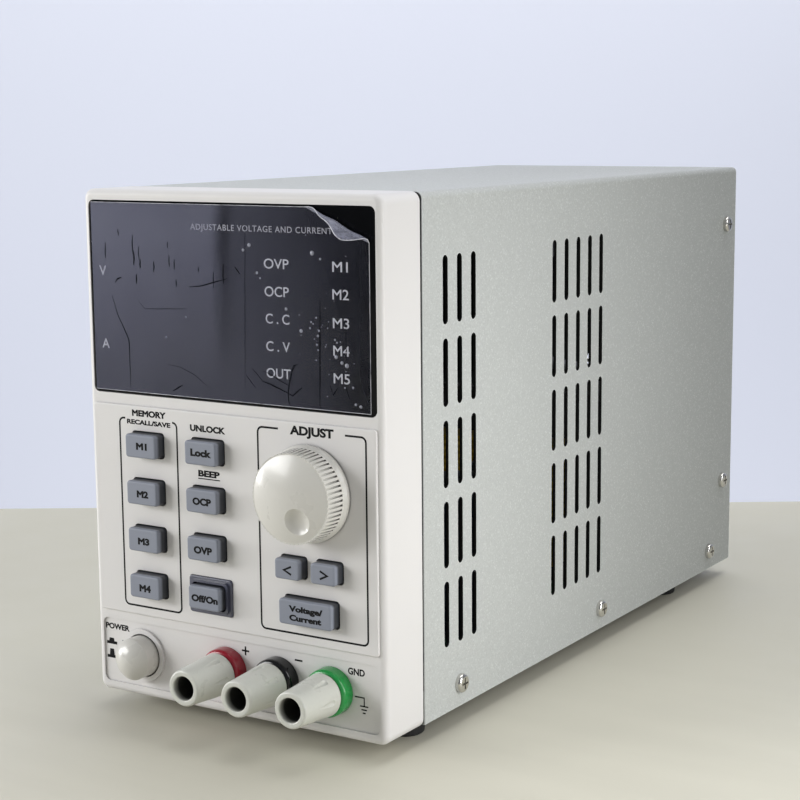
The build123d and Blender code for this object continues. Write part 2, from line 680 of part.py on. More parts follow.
def post_sleeve(x, turn):
    """Tapered finger sleeve with flutes that fade towards its mouth."""
    waist = SLEEVE_FRONT + 8
    body = turned(
        [
            (0, SLEEVE_REAR),
            (SLEEVE_REAR_RADIUS - 0.3, SLEEVE_REAR),
            (SLEEVE_REAR_RADIUS, SLEEVE_REAR - 0.6),
            (SLEEVE_FRONT_RADIUS + 0.5, waist),
            (SLEEVE_FRONT_RADIUS, SLEEVE_FRONT),
            (0, SLEEVE_FRONT),
        ],
        x,
        POST_Z,
    )
    body = fillet(front_edges(body), 0.7)
    body -= bar_y(x, POST_Z, SLEEVE_MOUTH_RADIUS, SLEEVE_FRONT - 1, INSERT_FRONT)
    body = fillet(front_edges(body).sort_by(SortBy.RADIUS)[0], 0.4)
    body -= bar_y(x, POST_Z, SLEEVE_BORE_RADIUS, INSERT_FRONT, SLEEVE_REAR + 1)
    return body - sleeve_flutes(x, turn)


def sleeve_flutes(x, turn):
    """Scallops with a round rear end, tapered and tilted so that they run out before the mouth."""
    length = FLUTE_REAR - FLUTE_FRONT
    middle = Pos(0, (FLUTE_REAR + FLUTE_FRONT) / 2, SLEEVE_REAR_RADIUS + 0.35)
    taper = middle * Rot(90 + 6.4, 0, 0) * Cone(1.5, 0.6, length)
    rear_end = Pos(0, FLUTE_REAR, SLEEVE_REAR_RADIUS + 0.84) * Sphere(1.5)
    flute = taper + rear_end
    turns = [turn + index * 360 / SLEEVE_FLUTES for index in range(SLEEVE_FLUTES)]
    return [Pos(x, 0, POST_Z) * Rot(0, angle, 0) * flute for angle in turns]


# ---------------------------------------------------------------- inside


def main_board():
    """Circuit board on four pegs above the floor."""
    x0, x1, y0, y1 = MAIN_BOARD
    board = block((x0, x1), (y0, y1), (MAIN_BOARD_BOTTOM, MAIN_BOARD_TOP))
    return board - [bar_z(x, y, SCREW_HOLE, 8, 12) for x, y in PEG_SPOTS]


def filter_capacitors():
    """Two large smoothing capacitors standing on the main board."""
    cans = []
    for x, y in CAPACITOR_SPOTS:
        can = bar_z(x, y, CAPACITOR_RADIUS, MAIN_BOARD_TOP, MAIN_BOARD_TOP + CAPACITOR_HEIGHT)
        can = fillet(can.edges().group_by(Axis.Z)[-1], 1.2)
        groove = Pos(x, y, MAIN_BOARD_TOP + 5) * Torus(CAPACITOR_RADIUS + 0.4, 0.8)
        cans.append(can - groove)
    return group(cans)


def bridge_rectifier():
    """Square rectifier block with a centre hole."""
    top = MAIN_BOARD_TOP + 10
    x, y = RECTIFIER_SPOT
    body = block((x - 11, x + 11), (y - 11, y + 11), (MAIN_BOARD_TOP, top))
    body = chamfer(body.edges().filter_by(Axis.Z).sort_by(Axis.X)[0], 3)
    return body - bar_z(x, y, 2.2, MAIN_BOARD_TOP - 1, top + 1)


def heatsink():
    """Finned extrusion standing on the main board."""
    x0, x1, y0, y1, height = HEATSINK
    z0, z1 = MAIN_BOARD_TOP, MAIN_BOARD_TOP + height
    base = block((x1 - 5, x1), (y0, y1), (z0, z1))
    fin_pitch = 7.0
    fins = [
        block((x0, x1 - 4), (y0 + index * fin_pitch, y0 + index * fin_pitch + 1.8), (z0, z1))
        for index in range(int((y1 - y0) / fin_pitch) + 1)
    ]
    return base + [fin & block((x0, x1), (y0, y1), (z0, z1)) for fin in fins]


def pass_transistors():
    """Three flat power transistors on the face of the heatsink."""
    face = HEATSINK[1]
    devices = []
    for y in TRANSISTOR_Y:
        device = block((face, face + 5), (y - 7.8, y + 7.8), (40, 60))
        device -= bar_x(y, 55, 1.7, face - 1, face + 6)
        legs = [
            block((face + 2, face + 2.6), (leg - 0.5, leg + 0.5), (MAIN_BOARD_TOP, 41))
            for leg in (y - 5.4, y, y + 5.4)
        ]
        devices.append(device + legs)
    return group(devices)


def transformer_core():
    """Laminated core with two windows for the coil."""
    z0 = FLOOR_BOTTOM + SHEET
    z1 = z0 + CORE_HEIGHT
    core = block((-CORE_HALF_WIDTH, CORE_HALF_WIDTH), CORE_Y, (z0, z1))
    window_z = core_window(z0)
    for side in (-1, 1):
        window_x = sorted((side * CORE_LIMB, side * (CORE_HALF_WIDTH - CORE_LIMB)))
        core -= block(window_x, (CORE_Y[0] - 1, CORE_Y[1] + 1), window_z)
    return core


def core_window(z0):
    """Bottom and top of the core's windows."""
    margin = (CORE_HEIGHT - CORE_WINDOW_HEIGHT) / 2
    return z0 + margin, z0 + CORE_HEIGHT - margin


def transformer_coil():
    """Winding round the centre limb, with a flanged former."""
    z0, z1 = core_window(FLOOR_BOTTOM + SHEET)
    gap = 0.3
    outer_x = CORE_HALF_WIDTH - CORE_LIMB - gap
    y0, y1 = CORE_Y[0] - COIL_OVERHANG, CORE_Y[1] + COIL_OVERHANG
    winding = block((-outer_x, outer_x), (y0, y1), (z0 + 2, z1 - 2))
    winding = fillet(winding.edges().filter_by(Axis.Z), 8)
    for low in (z0 + gap, z1 - gap - 1.8):
        winding += block((-outer_x, outer_x), (y0, y1), (low, low + 1.8))
    limb = block((-CORE_LIMB - gap, CORE_LIMB + gap), (CORE_Y[0] - gap, CORE_Y[1] + gap), (z0 - 1, z1 + 1))
    return winding - limb


def transformer_clamp():
    """Strap over the core with two feet on the floor."""
    floor_top = FLOOR_BOTTOM + SHEET
    gap = 0.1
    half = CORE_HALF_WIDTH + gap
    top = floor_top + CORE_HEIGHT + gap
    strap_y = (174.0, 202.0)
    strap = block((-half - CLAMP_SHEET, half + CLAMP_SHEET), strap_y, (floor_top, top + CLAMP_SHEET))
    strap -= block((-half, half), (170, 206), (floor_top - 1, top))
    for side in (-1, 1):
        foot_x = sorted((side * half, side * 52.5))
        strap += block(foot_x, strap_y, (floor_top, floor_top + CLAMP_SHEET))
    return strap - [bar_z(x, y, SCREW_HOLE, 1, 5) for x, y in CLAMP_SPOTS]


def ribbon_cable():
    """Flat cable from the front board down to the main board."""
    path = FilletPolyline((BOARD_REAR, 60), (34, 60), (58, 14), (66, 14), (66, MAIN_BOARD_TOP), radius=2.2)
    band = extrude(Plane.YZ * trace(path, 0.8), 10, both=True)
    return band & block((-20, 20), (BOARD_REAR, 80), (MAIN_BOARD_TOP, 90))


def wiring():
    """The ribbon and the leads between the inlet, the switch, the transformer, the board and the posts."""
    return group([ribbon_cable(), *mains_leads(), *secondary_leads(), *output_leads()])


def mains_leads():
    """Two leads from the inlet along the left wall to the power switch."""
    tag_y = POWER_SWITCH_REAR + 6.0
    inlet_y = INLET_FRONT - 0.5
    leads = []
    for tag_x, wall_x, height, inlet_x in ((-4, -51.0, 24, -38), (4, -48.6, 30, -33)):
        x = POWER_X + tag_x
        along_wall = [(wall_x, 71, height), (wall_x, 216, height)]
        rear_end = [(inlet_x, 227, height + 20), (inlet_x, inlet_y, height + 20)]
        leads.append(lead((x, tag_y, POWER_Z), (x, 68, height), *along_wall, *rear_end))
    return leads


def secondary_leads():
    """Two leads from the winding down to the main board."""
    start_y = CORE_Y[0] - COIL_OVERHANG - 0.5
    return [lead((x, start_y, 30), (x, 142, 36), (x, 136, 30), (x, 136, MAIN_BOARD_TOP)) for x in (18, 22)]


def output_leads():
    """Leads from the positive and negative studs back to the main board."""
    leads = []
    for colour, end_x in (("red", -3), ("black", 13)):
        x = POSTS[colour]
        forward = [(x, STUD_REAR + 0.5, POST_Z), (x, 32, POST_Z), (x, 50, 24)]
        leads.append(lead(*forward, (end_x, 72, 24), (end_x, 72, MAIN_BOARD_TOP)))
    return leads


def lead(*points):
    """Round insulated lead through the given points."""
    path = FilletPolyline(*points, radius=3)
    start = Plane(origin=path @ 0, z_dir=path % 0)
    return sweep(start * Circle(1.0), path=path)


# ---------------------------------------------------------------- rear fittings


def fan_corners():
    """Centres of the fan's four fixing holes."""
    half = FAN_HOLE_PITCH / 2
    return [(x, FAN_CENTRE_Z + z) for x in (-half, half) for z in (-half, half)]


def fan_frame():
    """Square fan frame with its motor plate on four struts."""
    z = FAN_CENTRE_Z
    frame = rounded_slab(0, z, FAN_SIZE, FAN_SIZE, 5, FAN_FRONT, REAR_PANEL_FRONT)
    frame -= bar_y(0, z, FAN_BORE_RADIUS, FAN_FRONT - 1, REAR_PANEL_FRONT + 1)
    plate_front = REAR_PANEL_FRONT - 3
    frame += bar_y(0, z, FAN_HUB_RADIUS, plate_front, REAR_PANEL_FRONT)
    for angle in (45, 135):
        strut = block((-FAN_BORE_RADIUS - 1, FAN_BORE_RADIUS + 1), (plate_front, REAR_PANEL_FRONT), (-2, 2))
        frame += Pos(0, 0, z) * Rot(0, angle, 0) * strut
    frame += bar_y(0, z, FAN_TUBE_RADIUS, FAN_FRONT + 4, REAR_PANEL_FRONT)
    holes = [bar_y(x, z, 2.2, FAN_FRONT - 1, REAR_PANEL_FRONT + 1) for x, z in fan_corners()]
    return frame - holes


def fan_rotor():
    """Hub with curved, pitched blades that turns on the frame's tube."""
    front, back = FAN_FRONT + 2, REAR_PANEL_FRONT - 4
    hub = bar_y(0, 0, FAN_HUB_RADIUS, front, back)
    hub = fillet(front_edges(hub), 1.5)
    hub += [fan_blade(index * 360 / FAN_BLADES, front, back) for index in range(FAN_BLADES)]
    hub -= bar_y(0, 0, FAN_TUBE_RADIUS + RUNNING_GAP, front + 1.5, back + 1)
    hub -= ring_y(0, 0, FAN_HUB_RADIUS - 1.8, FAN_TUBE_RADIUS + 2, front + 2, back + 1)
    return Pos(0, 0, FAN_CENTRE_Z) * hub


def fan_blade(angle, front, back):
    """One pitched blade between the hub and the bore."""
    tip = FAN_BORE_RADIUS - 1.5
    centre = (front + back) / 2
    reach = tip - FAN_HUB_RADIUS
    sheet = Pos(0, centre, FAN_HUB_RADIUS + reach / 2 - 1) * Rot(0, 0, 40) * Box(1.6, 60, reach + 4)
    ring = ring_y(0, 0, tip, FAN_HUB_RADIUS - 0.8, front + 1, back - 1)
    return Rot(0, angle, 0) * (sheet & ring)


def fan_guard():
    """Wire finger guard outside the rear panel."""
    back = REAR_PANEL_FRONT + SHEET
    ring_y_centre = back + GUARD_WIRE + 0.8
    guard = Part()
    for radius in GUARD_RINGS:
        guard += Pos(0, ring_y_centre, 0) * Rot(90, 0, 0) * Torus(radius, GUARD_WIRE)
    reach = FAN_HOLE_PITCH / 2 * 2**0.5
    spoke_y = back + 1.0
    for angle in (45, 135, 225, 315):
        spoke = bar_x(spoke_y, 0, 0.95, GUARD_RINGS[0] - 1, reach - 4.0)
        eye = ring_y(reach, 0, 4.2, 2.3, back, back + 1.6)
        guard += Rot(0, angle, 0) * (spoke + eye)
    return Pos(0, 0, FAN_CENTRE_Z) * guard


def fan_screws():
    """Four machine screws through the guard, the panel and the fan."""
    seat = REAR_PANEL_FRONT + SHEET + 1.6
    screws = []
    for x, z in fan_corners():
        head = bar_y(x, z, 3.8, seat, seat + 1.6)
        head -= Pos(x, seat + 1.6, z) * (Box(4.2, 1.6, 0.8) + Box(0.8, 1.6, 4.2))
        shank = bar_y(x, z, 2.0, FAN_FRONT + 1, seat + 0.2)
        screws.append(head + shank)
    return group(screws)


def mains_inlet():
    """Appliance inlet with a fuse drawer bay below its socket."""
    panel_back = REAR_PANEL_FRONT + SHEET
    body = rounded_slab(INLET_X, INLET_Z, *INLET_BODY, 1, INLET_FRONT, panel_back)
    flange = rounded_slab(INLET_X, INLET_Z, *INLET_FLANGE, 3, panel_back, panel_back + 2.5)
    body += fillet(flange.faces().sort_by(Axis.Y)[-1].edges(), 0.8)
    rear_face = panel_back + 2.5
    floor = rear_face - SOCKET_OPENING_DEPTH
    body -= slab(inlet_opening(), INLET_X, SOCKET_OPENING_Z, floor, rear_face + 1)
    bay_width, bay_height = DRAWER_SIZE[0] + 0.4, DRAWER_SIZE[1] + 0.4
    body -= rounded_slab(INLET_X, DRAWER_Z, bay_width, bay_height, 0.5, INLET_FRONT + 3, rear_face + 1)
    for x, z in ((-7, -1.5), (7, -1.5), (0, 2.5)):
        pin_x, pin_z = INLET_X + x, SOCKET_OPENING_Z + z
        body += block((pin_x - 1, pin_x + 1), (floor - 1, rear_face - 3), (pin_z - 2, pin_z + 2))
    return body


def inlet_opening():
    """Opening of the inlet: a rectangle with its two upper corners cut away."""
    width, height = SOCKET_OPENING
    outline = Rectangle(width, height)
    return chamfer(outline.vertices().group_by(Axis.Y)[-1], 4.5)


def fuse_drawer():
    """Sliding drawer with a trough for the fuse and a lip to pull."""
    rear_face = REAR_PANEL_FRONT + SHEET + 2.5
    width, height = DRAWER_SIZE
    drawer = rounded_slab(INLET_X, DRAWER_Z, width, height, 0.5, INLET_FRONT + 4, rear_face + 0.6)
    drawer -= block((INLET_X - 9, INLET_X + 9), (238, 257), (DRAWER_Z - FUSE_RADIUS, DRAWER_Z + 6))
    finger_z = (DRAWER_Z - 6, DRAWER_Z - 2.5)
    return drawer - block((INLET_X - 4, INLET_X + 4), (rear_face - 1.5, rear_face + 2), finger_z)


def mains_fuse():
    """Glass tube fuse with end caps, lying across the drawer."""
    x, y, z = INLET_X, 247.0, DRAWER_Z
    end_caps = bar_x(y, z, FUSE_RADIUS, x - 9, x - 4) + bar_x(y, z, FUSE_RADIUS, x + 4, x + 9)
    return end_caps + bar_x(y, z, FUSE_RADIUS - 0.3, x - 5, x + 5)


def voltage_selector():
    """Recessed two-position mains voltage selector."""
    panel_back = REAR_PANEL_FRONT + SHEET
    body = rounded_slab(SELECTOR_X, SELECTOR_Z, 26, 14, 1, 248, panel_back)
    body += rounded_slab(SELECTOR_X, SELECTOR_Z, 34, 18, 1.5, panel_back, panel_back + 1.4)
    body -= rounded_slab(SELECTOR_X, SELECTOR_Z, 18, 9, 1, 255, panel_back + 2)
    return body - rounded_slab(SELECTOR_X, SELECTOR_Z, 14, 4, 0.5, 251, 256)


def selector_slider():
    """Slider of the voltage selector, at its left stop."""
    x = SELECTOR_X - SELECTOR_TRAVEL / 2
    slider = rounded_slab(x, SELECTOR_Z, 8, 8, 0.6, 255.1, 258.4)
    slider += rounded_slab(x, SELECTOR_Z, 4, 3.8, 0.4, 252, 256)
    return slider - block((x - 0.6, x + 0.6), (257.4, 259), (SELECTOR_Z - 3, SELECTOR_Z + 3))


# ---------------------------------------------------------------- all pieces

PIECES = {
    "front_bezel": front_bezel,
    "cover": cover,
    "base_chassis": base_chassis,
    "rear_panel": rear_panel,
    "cover_screws": cover_screws,
    "chassis_screws": chassis_screws,
    "feet": feet,
    "display_lens": display_lens,
    "display_film": display_film,
    "front_board": front_board,
    "digit_displays": digit_displays,
    "indicator_leds": indicator_leds,
    "tact_switches": tact_switches,
    "output_key_frame": output_key_frame,
    "adjust_knob": adjust_knob,
    "encoder_body": encoder_body,
    "encoder_shaft": encoder_shaft,
    "power_button": power_button,
    "power_push_rod": power_push_rod,
    "power_switch": power_switch,
    "post_studs": post_studs,
    "post_nuts": post_nuts,
    "main_board": main_board,
    "filter_capacitors": filter_capacitors,
    "bridge_rectifier": bridge_rectifier,
    "heatsink": heatsink,
    "pass_transistors": pass_transistors,
    "transformer_core": transformer_core,
    "transformer_coil": transformer_coil,
    "transformer_clamp": transformer_clamp,
    "wiring": wiring,
    "fan_frame": fan_frame,
    "fan_rotor": fan_rotor,
    "fan_guard": fan_guard,
    "fan_screws": fan_screws,
    "mains_inlet": mains_inlet,
    "fuse_drawer": fuse_drawer,
    "mains_fuse": mains_fuse,
    "voltage_selector": voltage_selector,
    "selector_slider": selector_slider,
}


def build_pieces():
    """Yield every piece's name and its shape in the object's frame."""
    for name, make in PIECES.items():
        yield name, OBJECT_FRAME * make()
    for name in KEYS:
        yield name, OBJECT_FRAME * key(name)
    for colour, x in POSTS.items():
        yield f"post_collar_{colour}", OBJECT_FRAME * post_collar(x)
        yield f"post_insert_{colour}", OBJECT_FRAME * post_insert(x)
        yield f"post_sleeve_{colour}", OBJECT_FRAME * post_sleeve(x, FLUTE_TURN[colour])


def main():
    os.makedirs("parts", exist_ok=True)
    for name, shape in build_pieces():
        export_step(shape, f"parts/{name}.step")


if __name__ == "__main__":
    main()
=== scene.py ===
"""Looks for a bench power supply: procedural finishes, front-panel printing, the peeling film on its display
window, a pale table, soft light and the camera."""

import functools
import math
import random

import bpy
from mathutils import Matrix, Vector


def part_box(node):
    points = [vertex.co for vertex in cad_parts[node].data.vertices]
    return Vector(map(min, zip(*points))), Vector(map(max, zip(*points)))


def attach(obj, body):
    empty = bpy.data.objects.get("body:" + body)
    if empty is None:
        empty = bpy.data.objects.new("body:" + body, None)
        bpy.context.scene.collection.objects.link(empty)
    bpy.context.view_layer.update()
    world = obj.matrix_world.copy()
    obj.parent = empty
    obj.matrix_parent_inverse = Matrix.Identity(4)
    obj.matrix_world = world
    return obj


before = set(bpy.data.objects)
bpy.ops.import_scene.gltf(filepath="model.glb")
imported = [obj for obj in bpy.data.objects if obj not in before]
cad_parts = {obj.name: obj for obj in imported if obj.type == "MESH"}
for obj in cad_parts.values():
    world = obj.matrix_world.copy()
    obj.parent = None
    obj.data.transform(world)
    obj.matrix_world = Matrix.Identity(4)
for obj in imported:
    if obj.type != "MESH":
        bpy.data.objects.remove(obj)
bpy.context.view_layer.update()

MM = 0.001
# The panel is measured from the bezel rim's front face and from the bezel's underside.
FACE_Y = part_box("display_lens")[0].y - 0.2 * MM
BASE_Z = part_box("front_bezel")[0].z

PANEL = -0.8  # the raised key panel's face, in front of the bezel rim
RECESS = 0.6  # the sunken terminal panel's face
KEY_FACE = -4.8  # the front of the keys
LENS = 0.2  # the window's face
FILM = 0.08  # the front of the film on the window
INK = 0.03  # how far printing stands off what it is printed on


def at(x, y, z):
    """A point measured in millimetres from the middle of the bezel rim's lower edge, in the frame."""
    return Vector((x * MM, FACE_Y + y * MM, BASE_Z + z * MM))


def linear(code):
    """A display colour such as 'dcdad5' as linear light."""
    channels = [int(code[i:i + 2], 16) / 255 for i in (0, 2, 4)]
    return tuple(c / 12.92 if c <= 0.04045 else ((c + 0.055) / 1.055) ** 2.4 for c in channels) + (1.0,)


def shade(colour, gain):
    return tuple(min(1.0, c * gain) for c in colour[:3]) + (1.0,)


# ----------------------------------------------------------------------------------------- material graphs


class Graph:
    """One material's node graph. Positions are the object's own, in millimetres."""

    def __init__(self, name):
        self.material = bpy.data.materials.new(name)
        self.material.use_nodes = True
        self.tree = self.material.node_tree
        self.bsdf = self.tree.nodes["Principled BSDF"]
        coordinate = self.add("ShaderNodeTexCoord").outputs["Object"]
        self.mm = self.vector("MULTIPLY", coordinate, (1000, 1000, 1000))

    @classmethod
    def over(cls, material):
        """The graph of a material that has already been made, to build on."""
        graph = cls.__new__(cls)
        graph.material, graph.tree = material, material.node_tree
        graph.bsdf = graph.tree.nodes["Principled BSDF"]
        graph.mm = next(n for n in graph.tree.nodes if n.type == "VECT_MATH").outputs[0]
        return graph

    def add(self, kind, inputs=None, **settings):
        node = self.tree.nodes.new(kind)
        for key, value in settings.items():
            setattr(node, key, value)
        for key, value in (inputs or {}).items():
            self.put(node.inputs[key], value)
        return node

    def put(self, socket, value):
        if isinstance(value, bpy.types.NodeSocket):
            self.tree.links.new(value, socket)
        else:
            socket.default_value = value

    def set(self, **inputs):
        """Puts values on the surface shader, with underscores for spaces in the input names."""
        for key, value in inputs.items():
            self.put(self.bsdf.inputs[key.replace("_", " ")], value)

    def scaled(self, size, stretch=(1, 1, 1)):
        """The place in units of `size` millimetres, longer along the stretched axes."""
        return self.vector("MULTIPLY", self.mm, [1 / (size * s) for s in stretch])

    def noise(self, size, detail=2.0, stretch=(1, 1, 1)):
        """Smooth noise, 0 to 1, with features about `size` millimetres across."""
        return self.add("ShaderNodeTexNoise", {"Vector": self.scaled(size, stretch), "Scale": 1.0,
                                               "Detail": detail}).outputs[0]

    def cells(self, size, output="Distance", stretch=(1, 1, 1)):
        """Cells about `size` millimetres apart: the nearest middle's distance, or its own colour."""
        return self.add("ShaderNodeTexVoronoi", {"Vector": self.scaled(size, stretch),
                                                 "Scale": 1.0}).outputs[output]

    def math(self, operation, a, b=0.0, clamp=False):
        return self.add("ShaderNodeMath", {0: a, 1: b}, operation=operation, use_clamp=clamp).outputs[0]

    def vector(self, operation, a, b):
        return self.add("ShaderNodeVectorMath", {0: a, 1: b}, operation=operation).outputs[0]

    def times(self, a, b, clamp=False):
        return self.math("MULTIPLY", a, b, clamp)

    def plus(self, a, b):
        return self.math("ADD", a, b)

    def minus(self, a, b, clamp=False):
        return self.math("SUBTRACT", a, b, clamp)

    def span(self, value, low, high, start=0.0, end=1.0):
        """value from low..high to start..end, held at the ends."""
        return self.add("ShaderNodeMapRange", {"Value": value, "From Min": low, "From Max": high,
                                               "To Min": start, "To Max": end}).outputs[0]

    def uneven(self, size, detail, low, high):
        """Noise that wanders between two values."""
        return self.span(self.noise(size, detail), 0.3, 0.7, low, high)

    def mix(self, factor, a, b):
        """From colour a to colour b as the factor goes from 0 to 1."""
        node = self.add("ShaderNodeMix", data_type="RGBA")
        for index, value in ((0, factor), (6, a), (7, b)):
            self.put(node.inputs[index], value)
        return node.outputs[2]

    def axis(self, index):
        """The place along x, y or z, in millimetres."""
        return self.add("ShaderNodeSeparateXYZ", {0: self.mm}).outputs[index]

    def channel(self, colour, index):
        return self.add("ShaderNodeSeparateColor", {0: colour}).outputs[index]

    def bump(self, height, depth):
        """Surface relief `depth` millimetres high."""
        return self.add("ShaderNodeBump", {"Height": height, "Distance": depth * MM,
                                           "Strength": 1.0}).outputs[0]

    def edges(self, radius):
        """1 on edges sharper than about `radius` millimetres, 0 on open faces."""
        bevel = self.add("ShaderNodeBevel", {"Radius": radius * MM}, samples=4).outputs[0]
        normal = self.add("ShaderNodeNewGeometry").outputs["Normal"]
        facing = self.add("ShaderNodeVectorMath", {0: bevel, 1: normal}, operation="DOT_PRODUCT")
        return self.span(facing.outputs["Value"], 0.995, 0.87)

    def worn_and_lit_edges(self):
        """1 on edges, in patches, where colour is painted paler: partly wearing and partly painted highlight.
        """
        return self.times(self.edges(0.35), self.span(self.noise(1.6, 3), 0.25, 0.7), clamp=True)

    def hollows(self, reach):
        """1 in crevices, 0 in the open."""
        open_sky = self.add("ShaderNodeAmbientOcclusion", {"Distance": reach * MM}, samples=4).outputs["AO"]
        return self.span(open_sky, 0.75, 0.25)


def moulded(name, code, rough=0.5, grain=0.15, depth=0.004, drift=0.05, wear_and_highlight=0.0, coat=0.0, crevice_shade=0.0,
            reach=2.5, soft=0.0):
    """Moulded plastic: fine grain, slow colour drift, edges paler from wearing and painted highlight, and
    crevices darker with painted shade.
    """
    g = Graph(name)
    base = linear(code)
    colour = g.mix(g.noise(28, 3), shade(base, 1 - drift), shade(base, 1 + drift))
    colour = g.mix(g.span(g.noise(grain * 2.5, 2), 0.45, 0.75, 0, 0.5), colour, shade(base, 1 - 1.6 * drift))
    # Edges painted paler in patches: partly wearing, partly a painted highlight.
    if wear_and_highlight:
        colour = g.mix(g.times(g.worn_and_lit_edges(), wear_and_highlight), colour, shade(base, 1.55))
    # Painted shade: crevices darkened through an occlusion mask.
    if crevice_shade:
        colour = g.mix(g.times(g.hollows(reach), crevice_shade), colour, shade(base, 0.3))
    g.set(Base_Color=colour, Roughness=g.uneven(9, 3, rough - 0.05, rough + 0.06),
          Normal=g.bump(g.noise(grain, 3), depth), Coat_Weight=coat, Coat_Roughness=0.12)
    if soft:
        g.set(Subsurface_Weight=soft, Subsurface_Scale=0.6 * MM, Subsurface_Radius=(1.0, 0.9, 0.75))
    return g.material


def powder_coat():
    """Grey powder coat: sandy, with paler and darker specks. Painted shade darkens it towards the rear, at
    the seam with the bezel and in the slots, and a painted highlight lightens its edges.
    """
    g = Graph("powder_coat")
    base = linear("bdc0be")
    colour = g.mix(g.noise(60, 2), shade(base, 0.975), shade(base, 1.02))
    # Painted shade: darker towards the rear, for the light falling off along the side.
    rear_shade = g.span(g.axis(1), -110, 120, 0, 0.8)
    colour = g.mix(rear_shade, colour, shade(base, 0.68))
    speck = g.cells(0.42, "Color")
    colour = g.mix(g.span(g.channel(speck, 0), 0.5, 1.0, 0, 0.5), colour, shade(base, 0.8))
    colour = g.mix(g.span(g.channel(speck, 1), 0.78, 1.0, 0, 0.45), colour, shade(base, 1.35))
    # Painted highlight: edges lightened as though catching light.
    colour = g.mix(g.times(g.edges(0.4), 0.85), colour, shade(base, 1.6))
    low, high = (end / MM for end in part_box("cover"))
    # Painted shadow: a dark stripe on the cover along its gap to the bezel, deeper higher up.
    joint_shadow = g.times(g.span(g.axis(1), low.y + 0.55, low.y + 0.35), g.span(g.axis(2), 15, 160, 0.45, 0.95))
    colour = g.mix(joint_shadow, colour, linear("1c1d1c"))
    slots_from, slots_to, slots_end = 16, 159, high.y - 10
    beside = g.times(g.span(g.axis(2), slots_from, slots_from + 1), g.span(g.axis(2), slots_to, slots_to - 1))
    beside = g.times(beside, g.span(g.axis(1), slots_end, slots_end - 2))
    # Painted shade: near black on the slot walls and the inside face, within the slotted band.
    shaded_under_skin = g.span(g.math("ABSOLUTE", g.axis(0)), high.x - 0.04, high.x - 0.1)
    colour = g.mix(g.times(shaded_under_skin, beside), colour, linear("0b0b0b"))
    height = g.plus(g.cells(0.55), g.times(g.noise(0.9, 3), 0.8))
    g.set(Base_Color=colour, Roughness=g.uneven(0.5, 2, 0.44, 0.6), Normal=g.bump(height, 0.07),
          Specular_IOR_Level=0.5)
    return g.material


def plated(name, code, rough=0.25, stretch=(1, 1, 1), size=0.6, tarnish=0.15):
    """Bare or plated metal with a directional polish and a little tarnish."""
    g = Graph(name)
    base = linear(code)
    stain = g.span(g.noise(6, 4), 0.35, 0.75, 0, tarnish)
    polish = g.noise(size, 3, stretch)
    g.set(Base_Color=g.mix(stain, base, shade(base, 0.55)), Metallic=1.0,
          Roughness=g.span(polish, 0.3, 0.7, rough * 0.7, rough * 1.35), Normal=g.bump(polish, 0.002))
    return g.material


def galvanised():
    """Zinc-plated sheet with a faint crystalline spangle, and painted shade, near black, in its hollows."""
    g = Graph("chassis_zinc")
    spangle = g.channel(g.cells(5, "Color"), 0)
    base = linear("b4b6b8")
    colour = g.mix(spangle, shade(base, 0.82), shade(base, 1.05))
    # Painted shade: near black wherever the occlusion mask finds a hollow.
    g.set(Base_Color=g.mix(g.hollows(5), colour, shade(base, 0.03)), Metallic=0.9,
          Roughness=g.uneven(1.2, 3, 0.32, 0.5), Normal=g.bump(g.noise(0.4, 2), 0.004))
    return g.material


def smoked_lens():
    """Near-black polished window."""
    g = Graph("lens_smoke")
    dust = g.span(g.noise(0.35, 3), 0.68, 0.8, 0, 0.25)
    g.set(Base_Color=g.mix(dust, linear("06070a"), linear("1c1e24")), Specular_IOR_Level=0.12,
          Roughness=g.uneven(14, 3, 0.07, 0.16), Normal=g.bump(g.noise(18, 2), 0.02))
    return g.material


def film(name, lifted=False):
    """Clear protective film: hazy, with fine vertical scuffs. On the window its paleness also holds a painted
    reflection, brighter to the left.
    """
    g = Graph(name)
    scuffs = g.span(g.noise(1.1, 4, (1, 1, 9)), 0.5, 0.75)
    if lifted:
        veil = g.uneven(2.2, 4, 0.3, 0.6)
        tint = g.mix(g.noise(1.2, 3), linear("7d8094"), linear("b4b6c6"))
    else:
        # The veil, haze and painted reflection together, thins from left to right. The upper left is paler
        # still, with a clearer band where that ends.
        wander = g.times(g.minus(g.noise(26, 3), 0.5), 7.0)
        side = g.plus(g.axis(0), wander)
        upper = g.span(g.axis(2), 108, 152)
        veil = g.minus(g.span(side, -52, 18, 0.215, 0.125), g.span(side, 16, 50, 0, 0.09))
        paler_upper_left = g.times(g.span(side, -1.5, -6.5), upper)
        veil = g.plus(veil, g.times(paler_upper_left, 0.15))
        band = g.span(g.math("ABSOLUTE", g.plus(side, 1.0)), 4.5, 0.5)
        veil = g.minus(veil, g.times(g.times(band, upper), 0.06))
        cloud = g.minus(g.noise(12, 3, (1, 1, 2)), 0.5)
        veil = g.plus(veil, g.times(cloud, 0.05))
        veil = g.minus(veil, g.times(scuffs, 0.02), clamp=True)
        tint = g.mix(g.noise(30, 2), linear("9496b4"), linear("a3a6c0"))
    g.set(Base_Color=tint, Alpha=veil, Specular_IOR_Level=0.3,
          Roughness=g.uneven(5, 3, 0.3, 0.42), Normal=g.bump(g.noise(12, 2, (1, 1, 2.5)), 0.08))
    return g.material


def film_rim():
    """A cut film edge, painted pale as the highlight it catches."""
    g = Graph("film_rim")
    g.set(Base_Color=g.mix(g.noise(2, 3), linear("aeb0be"), linear("f2f2f6")), Roughness=0.2,
          Alpha=g.span(g.noise(3.5, 3), 0.3, 0.65, 0.35, 0.95), Normal=g.bump(g.noise(0.5, 2), 0.01))
    return g.material


